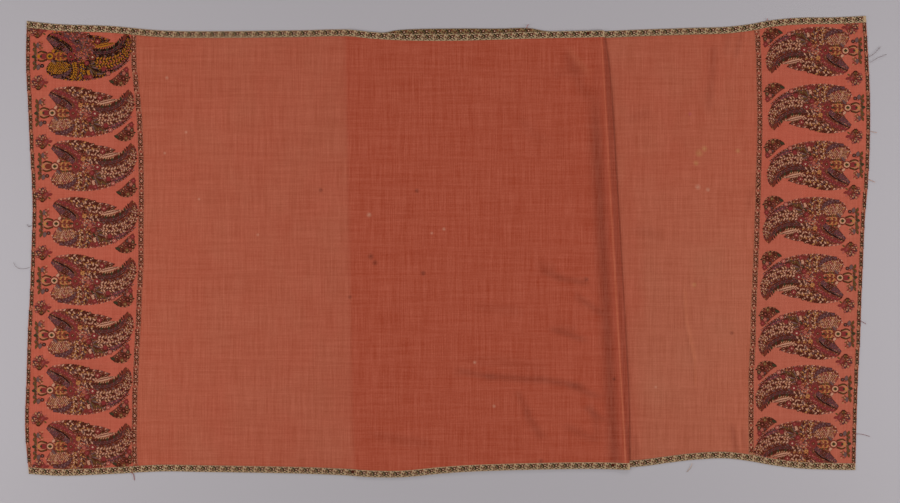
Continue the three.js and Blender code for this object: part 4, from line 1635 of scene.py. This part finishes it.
@dataclass(frozen=True)
class PatternedEnd:
    """One end: a paisley ground between two guard stripes, with its figures."""

    side: Side
    cell: float = 6.4
    links: tuple[float, float, float] = (-523.0, 540.0, 45.0)  # from, to and pitch, across
    guard_cells: tuple[int, int] = (3, 4)

    def line(self, offset: float) -> Line:
        """Gives the line at one distance from the shawl's end."""
        return from_left(offset) if self.side is Side.LEFT else from_right(offset)

    def strip(self, name: str, start: float, end: float, cells: int, finish: Material) -> Object:
        """Builds one strip across the shawl.

        Args:
            name: The first part of its CAD node's name.
            start: Its start, from the shawl's end.
            end: Its end, likewise.
            cells: How many columns it has.
            finish: Its cloth.

        Returns:
            The piece.
        """
        left = self.side is Side.LEFT
        first, last = (start, end) if left else (end, start)
        edges = (UPPER_BOTTOM, UPPER_TOP) if left else (LOWER_BOTTOM, LOWER_TOP)
        columns = between(self.line(first), self.line(last), cells, level_at(0.0))
        under = crossed(columns, *within_borders(*edges), ROWS_ACROSS)
        # The narrow outer stripe is cut 10 mm wide, a little of it taken up in the seam.
        return sheet(f"{name}_{self.side.value}", moved_out(under, LAY.cloth), under, finish)

    def build(self, ground: Material, guard: Material) -> dict[str, Object]:
        """Builds the end's three strips.

        Args:
            ground: The cloth that the paisleys stand on.
            guard: The cloth of the guard stripes.

        Returns:
            The strips by name.
        """
        half = LAY.gap / 2
        first, second = LAY.outer_guard + half, LAY.ground_end - half
        cells = int((LAY.ground_end - LAY.outer_guard) / self.cell)
        few, more = self.guard_cells
        return {"ground": self.strip("end_ground", first, second, cells, ground),
            "outer": self.strip("outer_guard", 0.0, LAY.outer_guard - half, few, guard),
            "inner": self.strip("inner_guard", LAY.ground_end + half, LAY.end_width - half, more, guard)}

    def dress(self, strips: dict[str, Object], loom: Loom, units: dict[str, Object]) -> None:
        """Lays the figures on the end's strips.

        Args:
            strips: The strips by name.
            loom: What lays them.
            units: The figures by name.
        """
        left, key, ground = self.side is Side.LEFT, self.side.value, strips["ground"]
        turn, end, at, size = (0.0, LEFT_END, 2, 1.0) if left else (180.0, RIGHT_END, 0, 0.97)
        rows = PAISLEY_ROWS[self.side]
        if left:
            bright = [Place(float(end(rows[0])) + at, rows.pop(0), turn)]
            loom.lay("woven_paisley_yellow", units["yellow paisley"], bright, ground)
        plain = [Place(float(end(y)) + at, y, turn, size) for y in rows]
        loom.lay(f"woven_paisleys_{key}", units["paisley"], plain, ground)
        for kind, spots, size in (("carnation", CARNATIONS, 1.2), ("spray", SPRAYS, 0.94)):
            places = [Place(*on_grid(*spot), turn, size) for spot in spots[self.side]]
            loom.lay(f"woven_{kind}s_{key}", units[kind], places, ground, 0.14)
        outer, inner = LAY.outer_guard / 2 + LAY.gap, LAY.end_width - LAY.inner_guard / 2
        for name, offset in (("outer", outer), ("inner", inner)):
            line = self.line(offset)
            places = [Place(float(line(y)), float(y), turn) for y in np.arange(*self.links)]
            loom.lay(f"woven_chain_{name}_{key}", units[f"{name} link"], places, strips[name])


@dataclass(frozen=True)
class EdgeBorders:
    """The narrow braids along the long edges, sewn on, and the folded layers' own."""

    rows: int = 7
    crown: float = 0.25
    cell: float = 5.0
    end_cells: int = 62
    repeat: float = 26.0

    def _crowned(self, under: Array, wall: float) -> Array:
        """Moves a border's underside out, a little more along its middle.

        Args:
            under: The underside's points.
            wall: The border's thickness at its middle.

        Returns:
            The upper side's points.
        """
        shares = np.linspace(0, 1, under.shape[0])
        swell = wall - self.crown + self.crown * np.sin(np.pi * shares) ** 0.5
        return moved_out(under, swell[:, None])

    def build(self, field: FieldCloth, finish: Material, hidden_finish: Material) -> dict[str, Object]:
        """Builds the six borders.

        Args:
            field: The field, for its sections.
            finish: The braid of the stretches that show.
            hidden_finish: The braid of the folded layers, a darker copy that paints the shade under the upper
                stretch.

        Returns:
            The pieces by their CAD node's name.
        """
        left, right = from_left(LAY.end_width), from_right(LAY.end_width)
        shares, flat = np.linspace(0, 1, self.rows), level_at(0.0)
        upper = between(LEFT_END, left, self.end_cells, flat)
        upper += field.upper_columns(left, 6.0, self.cell)[1:]
        lower = field.lower_columns(right, self.cell)
        lower += between(right, RIGHT_END, self.end_cells, flat, skip_first=True)
        pieces = {}
        for kind, columns, length, bottom, top in (
            ("border_upper", upper, 1.39, UPPER_BOTTOM, UPPER_TOP),
            ("border_lower", lower, 0.6, LOWER_BOTTOM, LOWER_TOP),
            ("hidden_border", field.hidden_columns(), 1.2, HIDDEN_BOTTOM, HIDDEN_TOP),
        ):
            for side, low, high in (
                ("top", shifted(top, -LAY.border), top), ("bottom", bottom, shifted(bottom, LAY.border)),
            ):
                node = f"{kind}_{side}"
                if kind == "hidden_border":
                    outer = crossed(columns, low, high, shares[::-1])
                    inner = moved_out(outer, field.wall_of_hidden)
                    pieces[node] = sheet(node, outer, inner, hidden_finish, False)
                else:
                    inner = crossed(columns, low, high, shares)
                    outer = self._crowned(inner, LAY.edging)
                    pieces[node] = sheet(node, outer, inner, finish, False)
        return pieces

    def dress(self, pieces: dict[str, Object], loom: Loom, scroll: Object) -> None:
        """Lays the scrolls along the borders.

        Args:
            pieces: The borders by their CAD node's name.
            loom: What lays them.
            scroll: One repeat of the scroll.
        """
        top, bottom = float(CREST(490)), float(CREST(-505))
        for node, edge, outward, first, last in (
            ("border_upper_top", UPPER_TOP, 1, float(LEFT_END(512)) + 13, top - 6),
            ("border_upper_bottom", UPPER_BOTTOM, -1, float(LEFT_END(-521)) + 13, bottom - 6),
            ("border_lower_top", LOWER_TOP, 1, top + 21, float(RIGHT_END(530)) - 10),
            ("border_lower_bottom", LOWER_BOTTOM, -1, bottom + 22, float(RIGHT_END(-512)) - 10),
            ("hidden_border_top", HIDDEN_TOP, 1, -180.0, 300.0),
        ):
            places = []
            for x in np.arange(first, last, self.repeat):
                slope = math.degrees(math.atan(float(edge(x + 1) - edge(x - 1)) / 2))
                places.append(Place(float(x), float(edge(x)) - outward * LAY.border / 2, slope))
            loom.lay(f"woven_scrolls_{node}", scroll, places, pieces[node], 0.12, 1.8)


@dataclass(frozen=True)
class Sewing:
    """The whip stitches along the long borders, each a short oversewn bar of yarn."""

    pitch: float = 5.0
    length: float = 3.4
    radius: float = 0.32
    sides: int = 5
    sections: tuple[tuple[float, float], ...] = ((-0.5, 0.2), (-0.3, 0.9), (0.3, 0.9), (0.5, 0.2))

    def unit(self) -> Object:
        """Makes one stitch, across Y, closed.

        Returns:
            The stitch.
        """
        sides, last = self.sides, len(self.sections) - 1
        turns = [2 * math.pi * k / sides for k in range(sides)]
        points = [
            (self.radius * width * math.cos(a), share * self.length, self.radius * width * math.sin(a))
            for share, width in self.sections
            for a in turns
        ]
        faces = [[r * sides + k, (r + 1) * sides + k, (r + 1) * sides + (k + 1) % sides,
            r * sides + (k + 1) % sides] for r in range(last) for k in range(sides)]
        faces += [list(range(sides)), [last * sides + k for k in reversed(range(sides))]]
        return unit_object("stitch", np.array(points), faces, [TAN] * len(faces))

    def build(self, loom: Loom, borders: dict[str, Object]) -> None:
        """Sews along the borders.

        Args:
            loom: What lays the stitches.
            borders: The borders by their CAD node's name.
        """
        stitch = self.unit()
        chance = np.random.default_rng(11)
        for node, edge, outward, first, last in (
            ("border_upper_top", UPPER_TOP, 1, -950, 340),
            ("border_upper_bottom", UPPER_BOTTOM, -1, -950, 398),
            ("border_lower_top", LOWER_TOP, 1, 372, 955),
            ("border_lower_bottom", LOWER_BOTTOM, -1, 424, 932),
        ):
            places = []
            for x in np.arange(first, last, self.pitch):
                at = float(x + chance.uniform(-0.5, 0.5)), float(edge(x)) - outward * (LAY.border + 0.1)
                places.append(Place(*at, chance.uniform(-24, -8), chance.uniform(0.85, 1.15)))
            loom.lay(f"sewing_{node}", stitch, places, borders[node], 0.1, 1.5, False)
        bpy.data.objects.remove(stitch)


@dataclass(frozen=True)
class LooseYarn:
    """One loose end of yarn, on the survey grid, with its height."""

    name: str
    thread: Thread
    spine: tuple[tuple[float, float, float], ...]
    radius: float = 0.45


LOOSE_YARNS = [
    LooseYarn(*row)
    for row in (
        ("pale_end_left", SLATE, ((27.2, 224.4, 1.9), (29.2, 226.8, 2.2), (31.8, 225.4, 1.9)), 0.4),
        (
            "loop_left", SLATE,
            ((13.5, 262.5, 2.4), (16, 266.4, 3.0), (20, 268.6, 3.2), (25, 268.8, 3.0), (30, 267.2, 2.2)), 0.3,
        ),
        ("pale_end_top_right", SLATE, ((869, 56.8, 2.0), (874, 53.6, 2.8), (880.5, 46.8, 2.0)), 0.4),
        ("pale_end_right_b", SLATE, ((870, 62.6, 2.0), (877, 58.4, 2.8), (886.5, 54.4, 1.2)), 0.35),
        ("pale_end_right_c", CREAM, ((870.5, 131.6, 2.0), (876.5, 132.6, 1.6)), 0.5),
        ("pale_end_right_d", CREAM, ((866.5, 178.8, 2.0), (870, 180, 2.4), (875, 182.4, 1.6)), 0.5),
        ("red_fray_right", CRIMSON, ((857, 319.6, 2.0), (861, 321, 2.2), (866, 324, 1.0)), 0.5),
        ("red_end_right", CRIMSON, ((854.6, 433.8, 2.0), (862, 434.2, 1.6), (869.6, 436.4, 0.8)), 0.4),
        ("pink_end_bottom", PINK, ((131, 471.4, 2.6), (133.6, 474.6, 1.2), (134.6, 480.2, 0.8)), 0.6),
        ("curled_end_bottom", WHITE, ((692, 463.2, 2.6), (690.6, 467, 1.6), (687, 471.8, 0.8)), 0.5),
        ("pink_tuft_top", PINK, ((526.4, 28.6, 3.6), (527.2, 26.2, 3.8), (528.4, 24.6, 3.2)), 0.7),
        ("pink_tuft_top_b", PINK, ((766.6, 21.2, 2.6), (767.4, 18.6, 2.6)), 0.7),
        ("pink_tuft_top_c", PINK, ((789.6, 20.8, 2.6), (790.6, 18.2, 2.6)), 0.7),
    )
]


class Studio:
    """A plain pale floor, soft light from both sides, and a camera that looks straight down."""

    floor_size = 9.0
    floor_depth = -0.0002
    floor_colour = "#b9b4b8"
    sky_colour = "#f2eef0"
    sky_strength = 0.115
    lens = 85.0
    sensor = 36.0
    frame_width = 2.070
    look_at = (0.0055, -0.0112)
    lights = (
        ("left softbox", (-2.1, -0.35, 1.7), (1.4, 2.2), 38.5),
        ("right softbox", (2.4, -0.35, 1.8), (1.4, 2.2), 46.5),
        ("top softbox", (0.3, 4.5, 3.0), (3.0, 2.0), 66.0),
    )

    def build(self) -> None:
        """Sets up the floor, lights, world and camera."""
        scene = bpy.context.scene
        scene.view_settings.view_transform = "Standard"
        half = self.floor_size / 2
        mesh = bpy.data.meshes.new("floor")
        corners = [(-half, -half), (half, -half), (half, half), (-half, half)]
        mesh.from_pydata([(x, y, self.floor_depth) for x, y in corners], [], [(0, 1, 2, 3)])
        looks = {"Base Color": linear(self.floor_colour), "Roughness": 0.95, "Specular IOR Level": 0.1}
        mesh.materials.append(Recipe("Seamless paper").surface(looks))
        linked("floor", mesh)

        for name, place, size, power in self.lights:
            lamp = bpy.data.lights.new(name, "AREA")
            lamp.shape = "RECTANGLE"
            lamp.size, lamp.size_y = size
            lamp.energy = power
            light = linked(name, lamp)
            light.location = place
            light.rotation_euler = (-Vector(place)).to_track_quat("-Z", "Y").to_euler()

        world = bpy.data.worlds.new("Studio")
        world.use_nodes = True
        sky = world.node_tree.nodes["Background"].inputs
        sky[0].default_value = linear(self.sky_colour)
        sky[1].default_value = self.sky_strength
        scene.world = world

        data = bpy.data.cameras.new("camera")
        data.lens = self.lens
        data.sensor_width = self.sensor
        data.dof.use_dof = False
        scene.camera = linked("camera", data)
        scene.camera.location = (*self.look_at, self.frame_width * self.lens / self.sensor)


def main() -> None:
    """Builds the shawl, its figures, its sewing and the studio, in that order."""
    logging.basicConfig(level=logging.INFO, format="%(name)s: %(message)s")
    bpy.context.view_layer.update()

    field_finish = TwillFinish(
        "Goats wool twill dyed brick red", dye="#b0573f", faded="#b0644a", stacked="#ab4b33", spots=True
    ).build()
    ground_finish = TwillFinish(
        "Goats wool tapestry ground in dull red", dye="#b85742", faded="#b05f49", stacked="#a84c34", depth=0.4
    ).build()
    guard_finish = TwillFinish(
        "Goats wool guard stripe in tan and red", dye="#a9624a", faded="#b27a58", stacked="#a84c34", depth=0.6
    ).build()
    braid = BorderFinish("Patterned wool braid", ground="#bb9d78", light="#d2b592", shade="#977a5c").build()
    # A darker copy of the braid for the folded layers' borders, which peek out from under the upper stretch:
    # painted shade.
    braid_with_painted_shade = BorderFinish(
        "Patterned wool braid, seldom out in the light", ground="#8f7450", light="#a98a62", shade="#6a5638"
    ).build()

    field = FieldCloth()
    field.build(field_finish)
    loom = Loom()
    yellow = paisley(YELLOW, YELLOW, [PINK, SLATE, PURPLE], DARK).redyed(DARK, BLACK).redyed(TAN, ORANGE)
    charts = {
        "paisley": paisley(CREAM, GOLD, [CREAM, GOLD], MAROON),
        "yellow paisley": yellow,
        "carnation": carnation(),
        "spray": corner_spray(),
        "outer link": guard_link(LAY.outer_guard, TAN, GOLD).redyed(TAN, OLIVE),
        "inner link": guard_link(LAY.inner_guard, PINK, ORANGE).redyed(GREEN, MAROON),
        "scroll": border_scroll(),
    }
    units = {name: unit_object(name, np.array(m.points), m.faces, m.threads) for name, m in charts.items()}
    for side in Side:
        end = PatternedEnd(side)
        end.dress(end.build(ground_finish, guard_finish), loom, units)
    edges = EdgeBorders()
    borders = edges.build(field, braid, braid_with_painted_shade)
    edges.dress(borders, loom, units["scroll"])
    for unit in units.values():
        bpy.data.objects.remove(unit)
    Sewing().build(loom, borders)
    for yarn in LOOSE_YARNS:
        spine = [(*on_grid(x, y), z) for x, y, z in yarn.spine]
        report(tube(f"loose_{yarn.name}", spine, yarn.radius, loom.yarns[yarn.thread]))
    Studio().build()


if __name__ == "__main__":
    main()
